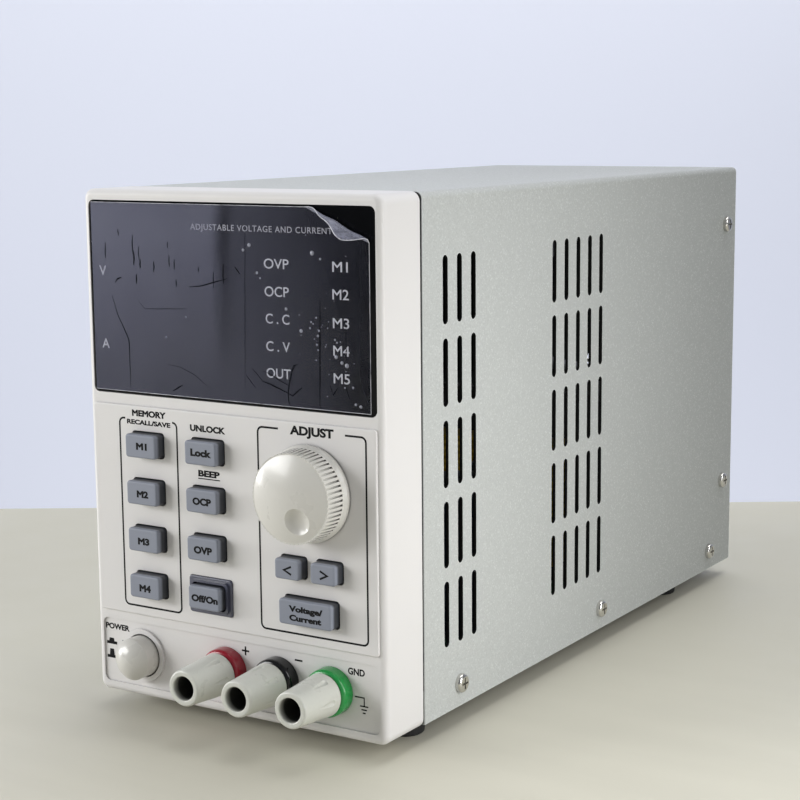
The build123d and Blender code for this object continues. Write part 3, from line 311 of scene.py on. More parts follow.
def ink(name, code, rough, specular=0.5):
    """Screen-printed ink: slightly uneven in density and sheen."""
    g = Graph(name)
    base = linear(code)
    g.set(Base_Color=g.mix(g.noise(0.7, 3), shade(base, 0.85), shade(base, 1.2)),
          Roughness=g.uneven(0.5, 2, rough - 0.08, rough + 0.08),
          Normal=g.bump(g.noise(0.12, 2), 0.003), Specular_IOR_Level=specular)
    return g.material


def circuit_board():
    """Green solder resist over copper tracks, with tinned pads."""
    g = Graph("board_green")
    across = g.span(g.cells(3.1, stretch=(1, 3, 1)), 0.42, 0.45)
    along = g.span(g.cells(3.4, stretch=(3, 1, 2)), 0.42, 0.45)
    tracks = g.math("MAXIMUM", across, along)
    pads = g.span(g.cells(2.54), 0.17, 0.14)
    colour = g.mix(tracks, linear("1b5b38"), linear("2f8050"))
    colour = g.mix(pads, colour, linear("c9c4b0"))
    g.set(Base_Color=colour, Roughness=g.uneven(4, 2, 0.28, 0.42), Coat_Weight=0.3,
          Metallic=g.times(pads, 0.8), Normal=g.bump(tracks, 0.05))
    return g.material


def striped(name, dark, pale, pitch, axis, rough, metallic=0.0):
    """A stack or winding whose layers lie across one axis."""
    g = Graph(name)
    across = g.plus(g.axis(axis), g.times(g.noise(8, 2), 0.25))
    wave = g.span(g.math("SINE", g.times(across, 2 * math.pi / pitch)), -1, 1)
    colour = g.mix(wave, linear(dark), linear(pale))
    colour = g.mix(g.span(g.noise(5, 4), 0.45, 0.8, 0, 0.5), colour, shade(linear(dark), 0.8))
    g.set(Base_Color=colour, Roughness=g.uneven(2, 3, rough - 0.08, rough + 0.1),
          Metallic=metallic, Normal=g.bump(wave, 0.03))
    return g.material


def insulated_leads():
    """Each lead takes its own colour."""
    g = Graph("wire_mixed")
    pick = g.add("ShaderNodeNewGeometry").outputs["Random Per Island"]
    ramp = g.add("ShaderNodeValToRGB", {0: pick})
    ramp.color_ramp.interpolation = "CONSTANT"
    shades = ["a81f22", "17181a", "2a7d3e", "6b4226", "2d56a8", "c9b23a", "b9b9b6"]
    stops = ramp.color_ramp.elements
    while len(stops) < len(shades):
        stops.new(1.0)
    for i, code in enumerate(shades):
        stops[i].position = i / len(shades)
        stops[i].color = linear(code)
    scuffed = g.mix(g.span(g.noise(6, 2), 0.4, 0.8, 0.0, 0.18), ramp.outputs[0], shade(linear("808080"), 0.6))
    g.set(Base_Color=scuffed, Roughness=g.uneven(2, 2, 0.34, 0.5), Normal=g.bump(g.noise(0.8, 2), 0.02))
    return g.material


def can_sleeve(top):
    """Shrink-sleeved cans with a bare vented end above the sleeve."""
    g = Graph("can_sleeve")
    normal = g.add("ShaderNodeNewGeometry").outputs["Normal"]
    upward = g.span(g.add("ShaderNodeSeparateXYZ", {0: normal}).outputs[2], 0.85, 0.95)
    cap = g.times(upward, g.span(g.axis(2), top - 1.2, top - 0.8))
    body = g.mix(g.noise(9, 3), linear("1a2436"), linear("26324a"))
    stripe = g.span(g.math("SINE", g.times(g.axis(0), 0.55)), 0.93, 0.97)
    body = g.mix(stripe, body, linear("a9adb5"))
    g.set(Base_Color=g.mix(cap, body, linear("c3c5c8")), Metallic=g.times(cap, 0.9),
          Roughness=g.uneven(3, 3, 0.25, 0.4), Normal=g.bump(g.noise(1.5, 2), 0.02))
    return g.material


def digit_face():
    """Display modules: a dark face with unlit seven-part figures faintly showing."""
    g = Graph("digit_black")
    across = g.math("PINGPONG", g.axis(0), 6.5)
    down = g.math("PINGPONG", g.axis(2), 8.0)
    bars = g.times(g.span(g.math("ABSOLUTE", g.minus(across, 4.0)), 0.9, 0.6), g.span(down, 7.0, 6.6))
    g.set(Base_Color=g.mix(bars, linear("17181b"), linear("3a3334")), Normal=g.bump(g.noise(0.3, 2), 0.01),
          Roughness=g.uneven(3, 2, 0.35, 0.5))
    return g.material


def glass_fuse():
    """A glass tube between plated end caps."""
    g = Graph("fuse_glass")
    low, high = (end.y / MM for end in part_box("mains_fuse"))
    front_cap = g.span(g.axis(1), low + 5.4, low + 5.2)
    rear_cap = g.span(g.axis(1), high - 5.4, high - 5.2)
    ends = g.math("MAXIMUM", front_cap, rear_cap)
    g.set(Base_Color=g.mix(ends, linear("dfe6e4"), linear("c4c4c0")), Metallic=ends,
          Transmission_Weight=g.minus(1.0, ends), IOR=1.47,
          Roughness=g.uneven(1, 2, 0.04, 0.16), Normal=g.bump(g.noise(2, 2), 0.005))
    return g.material


def rubber_key():
    """Grey keys, with painted shade on the skirt where each one goes into its hole."""
    g = Graph("key_grey")
    base = linear("868b98")
    colour = g.mix(g.noise(28, 3), shade(base, 0.965), shade(base, 1.035))
    # Edges painted paler in patches: partly wearing, partly a painted highlight.
    colour = g.mix(g.times(g.worn_and_lit_edges(), 0.45), colour, shade(base, 1.5))
    face = FACE_Y / MM + KEY_FACE
    # Painted shade: the skirt near black, for the shaded gap round the key.
    skirt = g.span(g.axis(1), face + 0.9, face + 1.9, 0, 0.85)
    g.set(Base_Color=g.mix(skirt, colour, linear("17181b")), Normal=g.bump(g.noise(0.14, 3), 0.008),
          Roughness=g.uneven(9, 3, 0.45, 0.56))
    return g.material


def post_metal():
    """Turned brass, with painted shade darkening it down inside the posts."""
    g = Graph("post_brass")
    polish = g.noise(0.5, 3, (1, 0.12, 1))
    # Painted shade: near black where the occlusion mask finds the deep bore.
    colour = g.mix(g.hollows(9), linear("c8a45f"), linear("17130c"))
    g.set(Base_Color=colour, Metallic=1.0, Roughness=g.span(polish, 0.3, 0.7, 0.2, 0.36),
          Normal=g.bump(polish, 0.002))
    return g.material


def fluted_sleeve(name):
    """Pale moulded grips, with painted shade in their flutes and inside their mouths."""
    material = moulded(name, "cdcec6", rough=0.3, grain=0.4, depth=0.003, drift=0.03, wear_and_highlight=0.25, coat=0.25,
                       crevice_shade=0.7, reach=1.6, soft=0.05)
    g = Graph.over(material)
    nearest = 100.0  # millimetres from the nearest post's axis
    for colour in ("red", "black", "green"):
        low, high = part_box("post_sleeve_" + colour)
        middle = (low + high) / 2 / MM
        away = g.vector("SUBTRACT", g.mm, (middle.x, 0, middle.z))
        across = g.add("ShaderNodeVectorMath", {0: g.vector("MULTIPLY", away, (1, 0, 1))}, operation="LENGTH")
        nearest = g.math("MINIMUM", nearest, across.outputs["Value"])
    mouth = low.y / MM
    # Painted shade: near black down inside each post's mouth.
    inside = g.times(g.span(nearest, 3.9, 3.75), g.span(g.axis(1), mouth + 0.3, mouth + 2.5))
    grip_colour = g.bsdf.inputs["Base Color"].links[0].from_socket
    g.set(Base_Color=g.mix(g.times(inside, 0.95), grip_colour, linear("100f0e")))
    return material


FINISHES = {
    "bezel_plastic": moulded("bezel_plastic", "dfdddc", rough=0.47, grain=0.16, depth=0.006, drift=0.012,
                             wear_and_highlight=0.3, crevice_shade=0.6, reach=1.4, soft=0.05),
    "cover_paint": powder_coat(),
    "chassis_zinc": galvanised(),
    "screw_steel": plated("screw_steel", "d9d7d2", 0.2, size=0.35, tarnish=0.25),
    "zinc_screw": plated("zinc_screw", "b9b8b2", 0.34, size=0.4, tarnish=0.3),
    "foot_rubber": moulded("foot_rubber", "19191a", rough=0.75, grain=0.3, depth=0.02, drift=0.15, wear_and_highlight=0.3),
    "lens_smoke": smoked_lens(),
    "film_clear": film("film_clear"),
    "board_green": circuit_board(),
    "digit_black": digit_face(),
    "led_clear": moulded("led_clear", "b8493f", rough=0.25, grain=0.3, coat=0.5, soft=0.3),
    "switch_black": moulded("switch_black", "1b1c1d", rough=0.5, grain=0.2, depth=0.01, drift=0.12, wear_and_highlight=0.4),
    "key_grey": rubber_key(),
    "frame_slate": moulded("frame_slate", "4c4e60", rough=0.3, grain=0.2, depth=0.004, drift=0.06, wear_and_highlight=0.5,
                           coat=0.5),
    "knob_ivory": moulded("knob_ivory", "d1cfc9", rough=0.3, grain=0.5, depth=0.002, drift=0.02, wear_and_highlight=0.2,
                          coat=0.3, crevice_shade=1.0, reach=2.2, soft=0.03),
    "shaft_alloy": plated("shaft_alloy", "c9c9cb", 0.28, (1, 0.1, 1), 0.5),
    "rod_plastic": moulded("rod_plastic", "dcdbd2", rough=0.5, grain=0.3, depth=0.01, drift=0.04),
    "post_brass": post_metal(),
    "nut_steel": plated("nut_steel", "cfcfcb", 0.25, size=0.5, tarnish=0.25),
    "collar_red": moulded("collar_red", "981529", rough=0.24, grain=0.4, depth=0.003, drift=0.06, coat=0.2,
                          wear_and_highlight=0.2, soft=0.05),
    "collar_black": moulded("collar_black", "0d0e11", rough=0.15, grain=0.4, depth=0.003, drift=0.15,
                            wear_and_highlight=0.2),
    "collar_green": moulded("collar_green", "229044", rough=0.24, grain=0.4, depth=0.003, drift=0.06,
                            coat=0.2, wear_and_highlight=0.2, soft=0.05),
    "sleeve_grey": fluted_sleeve("sleeve_grey"),
    "can_sleeve": can_sleeve(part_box("filter_capacitors")[1].z / MM),
    "epoxy_black": moulded("epoxy_black", "1a1a1b", rough=0.55, grain=0.25, depth=0.02, drift=0.12, wear_and_highlight=0.2),
    "heatsink_alloy": plated("heatsink_alloy", "3b3d40", 0.45, (1, 1, 0.15), 0.8, 0.2),
    "core_iron": striped("core_iron", "2c2a2a", "5b5857", 0.8, 1, 0.5, 0.6),
    "coil_tape": striped("coil_tape", "b28c1c", "dcb63a", 2.4, 2, 0.35),
    "wire_mixed": insulated_leads(),
    "fan_black": moulded("fan_black", "1c1d1f", rough=0.45, grain=0.3, depth=0.01, drift=0.12, wear_and_highlight=0.3),
    "guard_chrome": plated("guard_chrome", "d5d5d2", 0.16, size=0.5, tarnish=0.2),
    "inlet_black": moulded("inlet_black", "17181a", rough=0.5, grain=0.25, depth=0.012, drift=0.12,
                           wear_and_highlight=0.35),
    "fuse_glass": glass_fuse(),
    "selector_red": moulded("selector_red", "ad2320", rough=0.42, grain=0.3, depth=0.01, drift=0.06,
                            wear_and_highlight=0.3),
}

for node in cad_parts.values():
    for holder in node.material_slots:
        holder.material = FINISHES[holder.material.name.split(".")[0]]

BLACK_INK = ink("black_ink", "0b0b0d", 0.7, 0.2)
PALE_INK = ink("pale_ink", "b6b6c0", 0.4)
FAINT_INK = ink("faint_ink", "9a9aa4", 0.4)
CRACK = ink("film_crack", "08080d", 0.7, 0.05)
LIFTED = film("film_lifted", lifted=True)
RIM_HIGHLIGHT = film_rim()
BUBBLE = moulded("film_bubble", "8f919e", rough=0.22, grain=0.3, depth=0.02, drift=0.1, coat=0.4)


# ------------------------------------------------------------------------------------------- mesh building


def place(name, data):
    """Puts an object holding this mesh, curve, camera or light in the scene."""
    holder = bpy.data.objects.new(name, data)
    bpy.context.scene.collection.objects.link(holder)
    return holder


def baked(curve):
    """The mesh of a curve or text, which is then removed."""
    holder = place(curve.name, curve)
    bpy.context.view_layer.update()
    data = bpy.data.meshes.new_from_object(holder)
    bpy.data.objects.remove(holder)
    bpy.data.curves.remove(curve)
    return data


class Mesh:
    """Vertices and faces gathered in millimetres, made into one piece at the end."""

    def __init__(self):
        self.points, self.faces = [], []

    def extend(self, points, faces):
        start = len(self.points)
        self.points += [at(*p) for p in points]
        self.faces += [tuple(start + i for i in face) for face in faces]

    def piece(self, name, material, body="enclosure", slot=None, smooth=False):
        """Makes the piece, riding on a body. The slot argument is not used."""
        data = bpy.data.meshes.new(name)
        data.from_pydata(self.points, [], self.faces)
        data.validate()
        data.materials.append(material)
        if smooth:
            data.shade_smooth()
        piece = place(name, data)
        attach(piece, body)
        return piece


def word_mesh(text, weight, spacing=1.0):
    """A word in the built-in face as (points, faces), one unit of letter size, its faces at -1 and 1."""
    curve = bpy.data.curves.new("word", "FONT")
    curve.body = text
    curve.bevel_depth = weight
    curve.bevel_resolution = 0
    curve.extrude = 3 * weight
    curve.space_character = spacing
    curve.resolution_u = 5
    data = baked(curve)
    points = [(v.co.x, v.co.y, v.co.z / (4 * weight)) for v in data.vertices]
    faces = [tuple(p.vertices) for p in data.polygons]
    bpy.data.meshes.remove(data)
    return points, faces


@functools.cache
def capital_span(weight):
    """Where a capital letter of this weight starts and ends, for a letter size of one."""
    heights = [p[1] for p in word_mesh("H", weight)[0]]
    return min(heights), max(heights)


def letter(mesh, text, x, z, width, cap, face, weight, spacing=1.0):
    """Adds a word centred on (x, z) and fitted to a width and a capital height, on the plane y = face."""
    points, faces = word_mesh(text, weight, spacing)
    low, high = capital_span(weight)
    left, right = min(p[0] for p in points), max(p[0] for p in points)
    across, up = width / (right - left), cap / (high - low)
    middle_x, middle_z = (left + right) / 2, (low + high) / 2
    mesh.extend([(x + (p[0] - middle_x) * across, face - p[2] * INK, z + (p[1] - middle_z) * up)
                 for p in points], faces)


def slab(mesh, outline, face):
    """Adds a flat printed shape with a closed outline of (x, z) points, counter-clockwise from the front."""
    n = len(outline)
    front = [(x, face - INK, z) for x, z in outline]
    back = [(x, face + INK, z) for x, z in outline]
    sides = [(i, n + i, n + (i + 1) % n, (i + 1) % n) for i in range(n)]
    mesh.extend(front + back, [tuple(range(n)), tuple(range(2 * n - 1, n - 1, -1))] + sides)


def line(mesh, path, width, face, thick=INK, taper=False):
    """Adds a printed line along (x, z) points, mitred at its bends; tapering draws it out to nothing."""
    path = [Vector(p) for p in path]
    left, right = [], []
    for i, point in enumerate(path):
        ahead = (path[min(i + 1, len(path) - 1)] - path[max(i - 1, 0)]).normalized()
        before = (point - path[i - 1]).normalized() if i else ahead
        side = Vector((-ahead.y, ahead.x))
        stretch = 1 / max(0.5, side.dot(Vector((-before.y, before.x))))
        half = width / 2 * stretch
        if taper:
            half *= 0.25 + 0.75 * math.sin(math.pi * min(1, (i + 0.35) / (len(path) - 0.3)))
        left.append(point + side * half)
        right.append(point - side * half)
    slab_strip(mesh, left, right, face, thick)


def slab_strip(mesh, left, right, face, thick):
    """Adds a closed strip between two edges."""
    n = len(left)
    points = [(p.x, face + depth, p.y) for depth in (-thick, thick) for p in left + right]
    faces = []
    for i in range(n - 1):
        a, b, c, d = i, i + 1, n + i + 1, n + i
        faces += [(a, d, c, b), (2 * n + a, 2 * n + b, 2 * n + c, 2 * n + d)]
        faces += [(a, b, 2 * n + b, 2 * n + a), (d, 2 * n + d, 2 * n + c, c)]
    for a, b in ((0, n), (2 * n - 1, n - 1)):
        faces.append((a, 2 * n + a, 2 * n + b, b))
    mesh.extend(points, faces)


def corner(cx, cz, radius, start, end):
    """Points round a corner from one bearing to another, in degrees."""
    steps = 5
    bearings = [math.radians(start + (end - start) * i / steps) for i in range(steps + 1)]
    return [(cx + radius * math.cos(b), cz + radius * math.sin(b)) for b in bearings]


# ------------------------------------------------------------------------------------------ panel printing


def framing_line(mesh, left, right, bottom, top, gap_left, gap_right):
    """Adds a round-cornered box whose top edge is open between gap_left and gap_right for its title."""
    radius, width = 1.6, 0.58
    path = [(gap_left, top)]
    path += corner(left + radius, top - radius, radius, 90, 180)
    path += corner(left + radius, bottom + radius, radius, 180, 270)
    path += corner(right - radius, bottom + radius, radius, 270, 360)
    path += corner(right - radius, top - radius, radius, 0, 90)
    line(mesh, path + [(gap_right, top)], width, PANEL)


def panel_print():
    """Titles over the groups of keys, and the lines round two of the groups."""
    mesh = Mesh()
    for text, x, z, width, cap, weight in (
            ("MEMORY", -30.46, 91.58, 13.48, 2.0, 0.05), ("RECALL/SAVE", -30.70, 88.75, 17.28, 1.5, 0.045),
            ("UNLOCK", -7.66, 88.83, 13.44, 2.0, 0.05), ("BEEP", -7.53, 75.06, 8.23, 2.0, 0.05),
            ("ADJUST", 30.61, 91.37, 15.52, 2.7, 0.045)):
        letter(mesh, text, x, z, width, cap, PANEL, weight)
    line(mesh, [(-11.7, 73.45), (-3.4, 73.45)], 0.32, PANEL)
    framing_line(mesh, -42.3, -19.6, 30.0, 89.7, -40.0, -21.3)
    framing_line(mesh, 11.15, 49.45, 30.0, 91.35, 18.6, 42.3)
    mesh.piece("panel_print", BLACK_INK)


def terminal_print():
    """Titles, the posts' signs, the signs for the power button's two places, and the earth sign."""
    mesh = Mesh()
    for text, x, z, width, cap, weight in (("POWER", -47.3, 21.22, 9.9, 1.9, 0.045),
                                           ("GND", 44.21, 21.06, 5.91, 2.1, 0.035)):
        letter(mesh, text, x, z, width, cap, RECESS, weight)
    sign = 1.4
    for x, z in ((3.70, 21.20), (23.52, 21.29)):
        line(mesh, [(x - sign, z), (x + sign, z)], 0.55, RECESS)
    line(mesh, [(3.70, 21.2 - sign), (3.70, 21.2 + sign)], 0.55, RECESS)
    for z, low, high, half in ((15.7, 0.55, 1.5, 1.1), (11.1, 0.55, 2.5, 1.0)):
        slab(mesh, [(-52.0, z - 0.5), (-47.8, z - 0.5), (-47.8, z + low - 0.1), (-50 + half, z + low - 0.1),
                    (-50 + half * 0.8, z + high), (-50 - half * 0.8, z + high), (-50 - half, z + low - 0.1),
                    (-52.0, z + low - 0.1)], RECESS)
    slab(mesh, [(-45.6, 15.6), (-44.9, 15.5), (-44.9, 17.1), (-45.5, 17.1)], RECESS)
    line(mesh, [(43.6, 13.6), (46.85, 13.6), (46.85, 11.0)], 0.4, RECESS)
    for z, half in ((11.0, 1.45), (9.95, 0.95), (8.95, 0.5)):
        line(mesh, [(46.8 - half, z), (46.8 + half, z)], 0.4, RECESS)
    mesh.piece("terminal_print", BLACK_INK)


KEY_WORDS = {  # for each key: its words, with middle x and z, width and capital height
    "key_memory_1": [("M1", -30.42, 82.07, 4.27, 2.2)],
    "key_memory_2": [("M2", -30.58, 67.08, 4.57, 2.2)],
    "key_memory_3": [("M3", -30.73, 52.17, 4.54, 2.2)],
    "key_memory_4": [("M4", -30.74, 37.22, 4.56, 2.3)],
    "key_lock": [("Lock", -7.32, 82.20, 7.89, 2.3)],
    "key_current_limit": [("OCP", -7.40, 67.28, 7.09, 2.25)],
    "key_voltage_limit": [("OVP", -7.46, 52.22, 7.00, 2.3)],
    "key_output": [("Off/On", -7.33, 37.07, 10.1, 2.2)],
    "key_volt_amp": [("Voltage/", 30.21, 38.85, 12.07, 1.85), ("Current", 30.05, 36.1, 11.47, 1.85)],
    "key_digit_left": [("<", 23.96, 50.20, 2.61, 2.4)],
    "key_digit_right": [(">", 36.79, 50.28, 2.54, 2.4)],
}


def key_print():
    """Each key's words, which ride on the key."""
    for key, words in KEY_WORDS.items():
        mesh = Mesh()
        for text, x, z, width, cap in words:
            if text in "<>":
                tip, rise = (-width / 2 if text == "<" else width / 2), cap / 2
                line(mesh, [(x - tip, z + rise), (x + tip, z), (x - tip, z - rise)], 0.62, KEY_FACE)
            else:
                letter(mesh, text, x, z, width, cap, KEY_FACE, 0.055)
        mesh.piece(key + "_print", BLACK_INK, key)


LENS_WEIGHT = 0.006


def lens_print():
    """The units and indicator words in the window, and a fainter line of small words over them."""
    mesh = Mesh()
    for text, x, z, width, cap in (
            ("V", -47.99, 135.12, 2.78, 2.98), ("A", -47.7, 112.5, 2.9, 2.98),
            ("OVP", 18.41, 139.54, 8.87, 2.85), ("OCP", 18.39, 131.45, 8.68, 2.88),
            ("C . C", 18.5, 123.5, 8.5, 2.85), ("C . V", 18.5, 115.4, 8.5, 2.85),
            ("OUT", 18.5, 107.5, 8.7, 2.85),
            ("M1", 40.73, 139.47, 5.33, 2.9), ("M2", 40.8, 131.6, 5.6, 2.9), ("M3", 40.8, 123.4, 5.6, 2.9),
            ("M4", 40.8, 115.5, 5.6, 2.9), ("M5", 40.8, 107.5, 5.6, 2.9)):
        letter(mesh, text, x, z, width, cap, LENS, LENS_WEIGHT)
    mesh.piece("lens_print", PALE_INK)
    title = Mesh()
    letter(title, "ADJUSTABLE VOLTAGE AND CURRENT", 12.63, 149.53, 51.2, 1.75, LENS, LENS_WEIGHT, 1.12)
    title.piece("lens_title", FAINT_INK)


# -------------------------------------------------------------------------------------- film on the window

FILM_LEFT, FILM_RIGHT, FILM_LOW, FILM_TOP = -51.9, 50.8, 98.02, 156.18
FOLD_A, FOLD_B = Vector((28.9, 156.2)), Vector((50.8, 146.4))
FILM_CORNER = Vector((50.8, 156.2))
FLAP_LENGTH = 8.95  # from the fold to the loose corner
CREASE_RISE = 0.015
CREASE_GAIN = 1.6  # the creases are drawn this much wider than they are, so that they show

CREASES = [  # the path of each crease, and its width
    ([(-44.5, 127.6), (-42.3, 121.6), (-39.7, 117.0), (-38.2, 114.0), (-38.1, 107.8), (-38.1, 98.3)], 0.22),
    ([(-34.1, 126.6), (-31.4, 124.0), (-25.5, 124.3), (-15.0, 124.8)], 0.13),
    ([(24.9, 110.8), (23.4, 108.3), (22.3, 104.4), (21.9, 102.0), (22.1, 99.4), (22.8, 98.3)], 0.26),
    ([(21.9, 102.0), (19.0, 103.0), (15.4, 104.2), (12.5, 104.9)], 0.28),
    ([(22.3, 104.1), (19.1, 105.4), (15.5, 107.2), (12.9, 107.9)], 0.2),
    ([(21.9, 102.0), (23.6, 101.3), (25.1, 102.6), (26.9, 103.9)], 0.26),
    ([(23.4, 108.3), (24.0, 110.2), (25.6, 110.6)], 0.2),
    ([(33.7, 129.8), (33.5, 115.4), (33.1, 98.3)], 0.3),
    ([(7.6, 153.4), (6.9, 128.5), (6.2, 101.7)], 0.12),
    ([(8.9, 108.5), (12.5, 105.2)], 0.14),
    ([(6.7, 106.3), (10.2, 102.6)], 0.14),
    ([(-21.3, 99.4), (-17.4, 101.5)], 0.26),
    ([(-23.0, 107.3), (-18.3, 107.0), (-12.6, 104.9), (-7.7, 101.6)], 0.1),
    ([(36.8, 105.5), (37.8, 102.6), (39.5, 104.8)], 0.16),
    ([(42.0, 105.8), (43.6, 101.6)], 0.14),
    ([(42.6, 124.5), (42.4, 108.8)], 0.1),
    ([(-14.0, 131.5), (-9.5, 131.9), (-4.0, 133.4), (0.6, 134.6)], 0.24),
    ([(3.4, 138.2), (5.3, 136.1)], 0.3),
    ([(-43.0, 131.6), (-41.9, 132.8), (-40.5, 133.2)], 0.3),
]
SCUFFS = [  # middle x and z, and length
    (-35.6, 143.5, 6.0), (-35.2, 139.5, 4.5), (-33.2, 141.0, 4.0), (-32.8, 137.8, 3.0), (-27.4, 137.0, 3.4),
    (-21.3, 139.0, 3.6), (-19.4, 138.0, 3.2), (-21.8, 143.8, 2.0), (-34.4, 133.0, 3.0), (-18.9, 132.4, 2.4),
    (-10.2, 136.9, 1.8), (-46.6, 141.5, 5.0), (-41.2, 147.0, 2.2), (-0.9, 136.0, 6.0), (-4.6, 134.0, 5.0),
]
BUBBLES = [  # middle x and z, and radius
    (8.8, 144.7, 0.62), (6.6, 143.2, 0.5), (31.2, 143.1, 0.75), (34.0, 141.5, 0.4), (12.6, 135.2, 0.35),
    (11.5, 136.7, 0.45), (21.7, 126.6, 0.5), (26.9, 120.5, 0.6), (32.8, 119.4, 0.42), (32.4, 116.8, 0.36),
    (32.8, 115.3, 0.28), (38.7, 118.6, 0.36), (39.4, 117.8, 0.32), (41.0, 112.1, 0.55), (39.0, 113.7, 0.6),
    (-15.5, 122.3, 0.28), (-23.4, 115.8, 0.25), (44.7, 105.2, 0.4), (45.6, 100.4, 0.42), (47.3, 99.9, 0.5),
    (41.9, 105.0, 0.3), (42.7, 111.4, 0.7), (30.5, 123.3, 0.3), (31.2, 122.8, 0.26), (32.3, 124.6, 0.3),
    (30.1, 121.5, 0.34), (33.2, 120.9, 0.4),
]


def film_creases():
    """Creases that wander a little, and short upright scuffs."""
    mesh = Mesh()
    rng = random.Random(7)
    wander, drift, spacing = 0.05, 0.12, 1.4
    for path, width in CREASES:
        dense = []
        for a, b in zip(path, path[1:]):
            steps = max(1, int(math.dist(a, b) / spacing))
            dense += [(a[0] + (b[0] - a[0]) * i / steps + rng.uniform(-wander, wander),
                       a[1] + (b[1] - a[1]) * i / steps + rng.uniform(-wander, wander)) for i in range(steps)]
        line(mesh, dense + [path[-1]], CREASE_GAIN * width, FILM, CREASE_RISE, taper=True)
    for x, z, length in SCUFFS:
        steps = 5
        path = [(x + rng.uniform(-drift, drift), z + length * (0.5 - i / steps)) for i in range(steps + 1)]
        line(mesh, path, rng.uniform(0.3, 0.6), FILM, CREASE_RISE, taper=True)
    mesh.piece("film_creases", CRACK)


def dome(mesh, x, z, radius, height):
    """Adds a low blister of air under the film."""
    rings, turns = 4, 14
    points = [(x, FILM - height, z)]
    for ring in range(1, rings + 1):
        reach = ring / rings
        lift = height * (1 - reach * reach) ** 0.8 if ring < rings else -0.03
        for k in range(turns):
            a = 2 * math.pi * k / turns
            points.append((x + radius * reach * math.cos(a), FILM - lift, z + radius * reach * math.sin(a)))
    faces = [(0, 1 + k, 1 + (k + 1) % turns) for k in range(turns)]
    for ring in range(rings - 1):
        a, b = 1 + ring * turns, 1 + (ring + 1) * turns
        faces += [(a + k, b + k, b + (k + 1) % turns, a + (k + 1) % turns) for k in range(turns)]
    last = 1 + (rings - 1) * turns
    faces.append(tuple(last + k for k in range(turns - 1, -1, -1)))
    mesh.extend(points, faces)


def film_bubbles():
    """Air bubbles under the film."""
    mesh = Mesh()
    rng = random.Random(11)
    for x, z, radius in BUBBLES:
        dome(mesh, x, z, radius, 0.1 + 0.2 * radius)
    for _ in range(30):  # fine ones, most of them gathered between the lower indicator words
        x = min(48, rng.gauss(33, 5))
        z = rng.uniform(99, 150) if rng.random() < 0.4 else rng.gauss(117, 6)
        dome(mesh, x, z, rng.uniform(0.08, 0.2), 0.06)
    mesh.piece("film_bubbles", BUBBLE, smooth=True)


def flap_point(s, d, length):
    """A point of the lifted corner, s along the fold and d away from it. The film curls over as it leaves."""
    along = (FOLD_B - FOLD_A).normalized()
    away = Vector((-along.y, along.x))
    lean, lean_by = math.radians(118), 2.6  # how steeply it leans back, and how soon
    droop, droop_over = math.radians(26), 6.4  # how much it straightens after that, and over what length
    out = lift = 0.0
    steps = 24
    for i in range(steps):
        t = (i + 0.5) / steps * d
        bend = lean * min(1.0, t / lean_by) ** 0.8 - droop * max(0.0, (t - lean_by) / droop_over)
        bend *= 0.86 + 0.14 * s / length
        out += math.cos(bend) * d / steps
        lift += math.sin(bend) * d / steps
    ripple = 0.35 * math.sin(s * 0.62 + 0.6) * min(1.0, d / 3)
    spot = FOLD_A + along * s + away * (out + ripple)
    return spot.x, FILM - 0.02 - max(0.0, lift), spot.y


def film_flap():
    """Makes the corner that has come unstuck and curled over, and gives back its loose edge."""
    length = (FOLD_B - FOLD_A).length
    along = (FOLD_B - FOLD_A).normalized()
    corner_s = (FILM_CORNER - FOLD_A).dot(along)
    columns, rows = 40, 16
    points = []
    for j in range(rows + 1):
        for i in range(columns + 1):
            s = i / columns * length
            reach = FLAP_LENGTH * (s / corner_s if s < corner_s else (length - s) / (length - corner_s))
            points.append(flap_point(s, max(0.02, reach) * j / rows, length))
    starts = [j * (columns + 1) + i for j in range(rows) for i in range(columns)]
    mesh = Mesh()
    mesh.extend(points, [(a, a + 1, a + columns + 2, a + columns + 1) for a in starts])
    flap = mesh.piece("film_flap", LIFTED, slot="film_clear", smooth=True)
    solid = flap.modifiers.new("thickness", "SOLIDIFY")
    solid.thickness = 0.1 * MM
    solid.offset = 0
    return points[rows * (columns + 1):]


def film_rims(loose_edge):
    """The cut edges of the film, painted bright as highlights: the loose corner's, then its right side,
    bottom and top.
    """
    y = FILM - 0.01
    paths = [loose_edge,
             [(FILM_RIGHT - 0.02, y, FOLD_B.y), (FILM_RIGHT, y, 130), (FILM_RIGHT - 0.02, y, 98.1)],
             [(FILM_RIGHT, y, FILM_LOW), (0, y, FILM_LOW), (FILM_LEFT, y, FILM_LOW)],
             [(FILM_LEFT, y, FILM_TOP), (-10, y, FILM_TOP), (FOLD_A.x, y, FILM_TOP)]]
    for k, path in enumerate(paths):
        cord(f"film_rim_{k + 1}", path, 0.13 if k == 0 else 0.09, RIM_HIGHLIGHT)


def cord(name, path, radius, material):
    """Makes a fine round bead along a path, as a closed mesh."""
    curve = bpy.data.curves.new("cord", "CURVE")
    curve.dimensions = "3D"
    curve.bevel_depth = radius * MM
    curve.bevel_resolution = 2
    curve.use_fill_caps = True
    spline = curve.splines.new("POLY")
    spline.points.add(len(path) - 1)
    for point, spot in zip(spline.points, path):
        point.co = (*at(*spot), 1)
    data = baked(curve)
    data.name = name
    data.materials.clear()
    data.materials.append(material)
    data.shade_smooth()
    piece = place(name, data)
    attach(piece, "enclosure")


panel_print()
terminal_print()
key_print()
lens_print()
film_creases()
film_bubbles()
film_rims(film_flap())


# --------------------------------------------------------------------------------------------------- stage

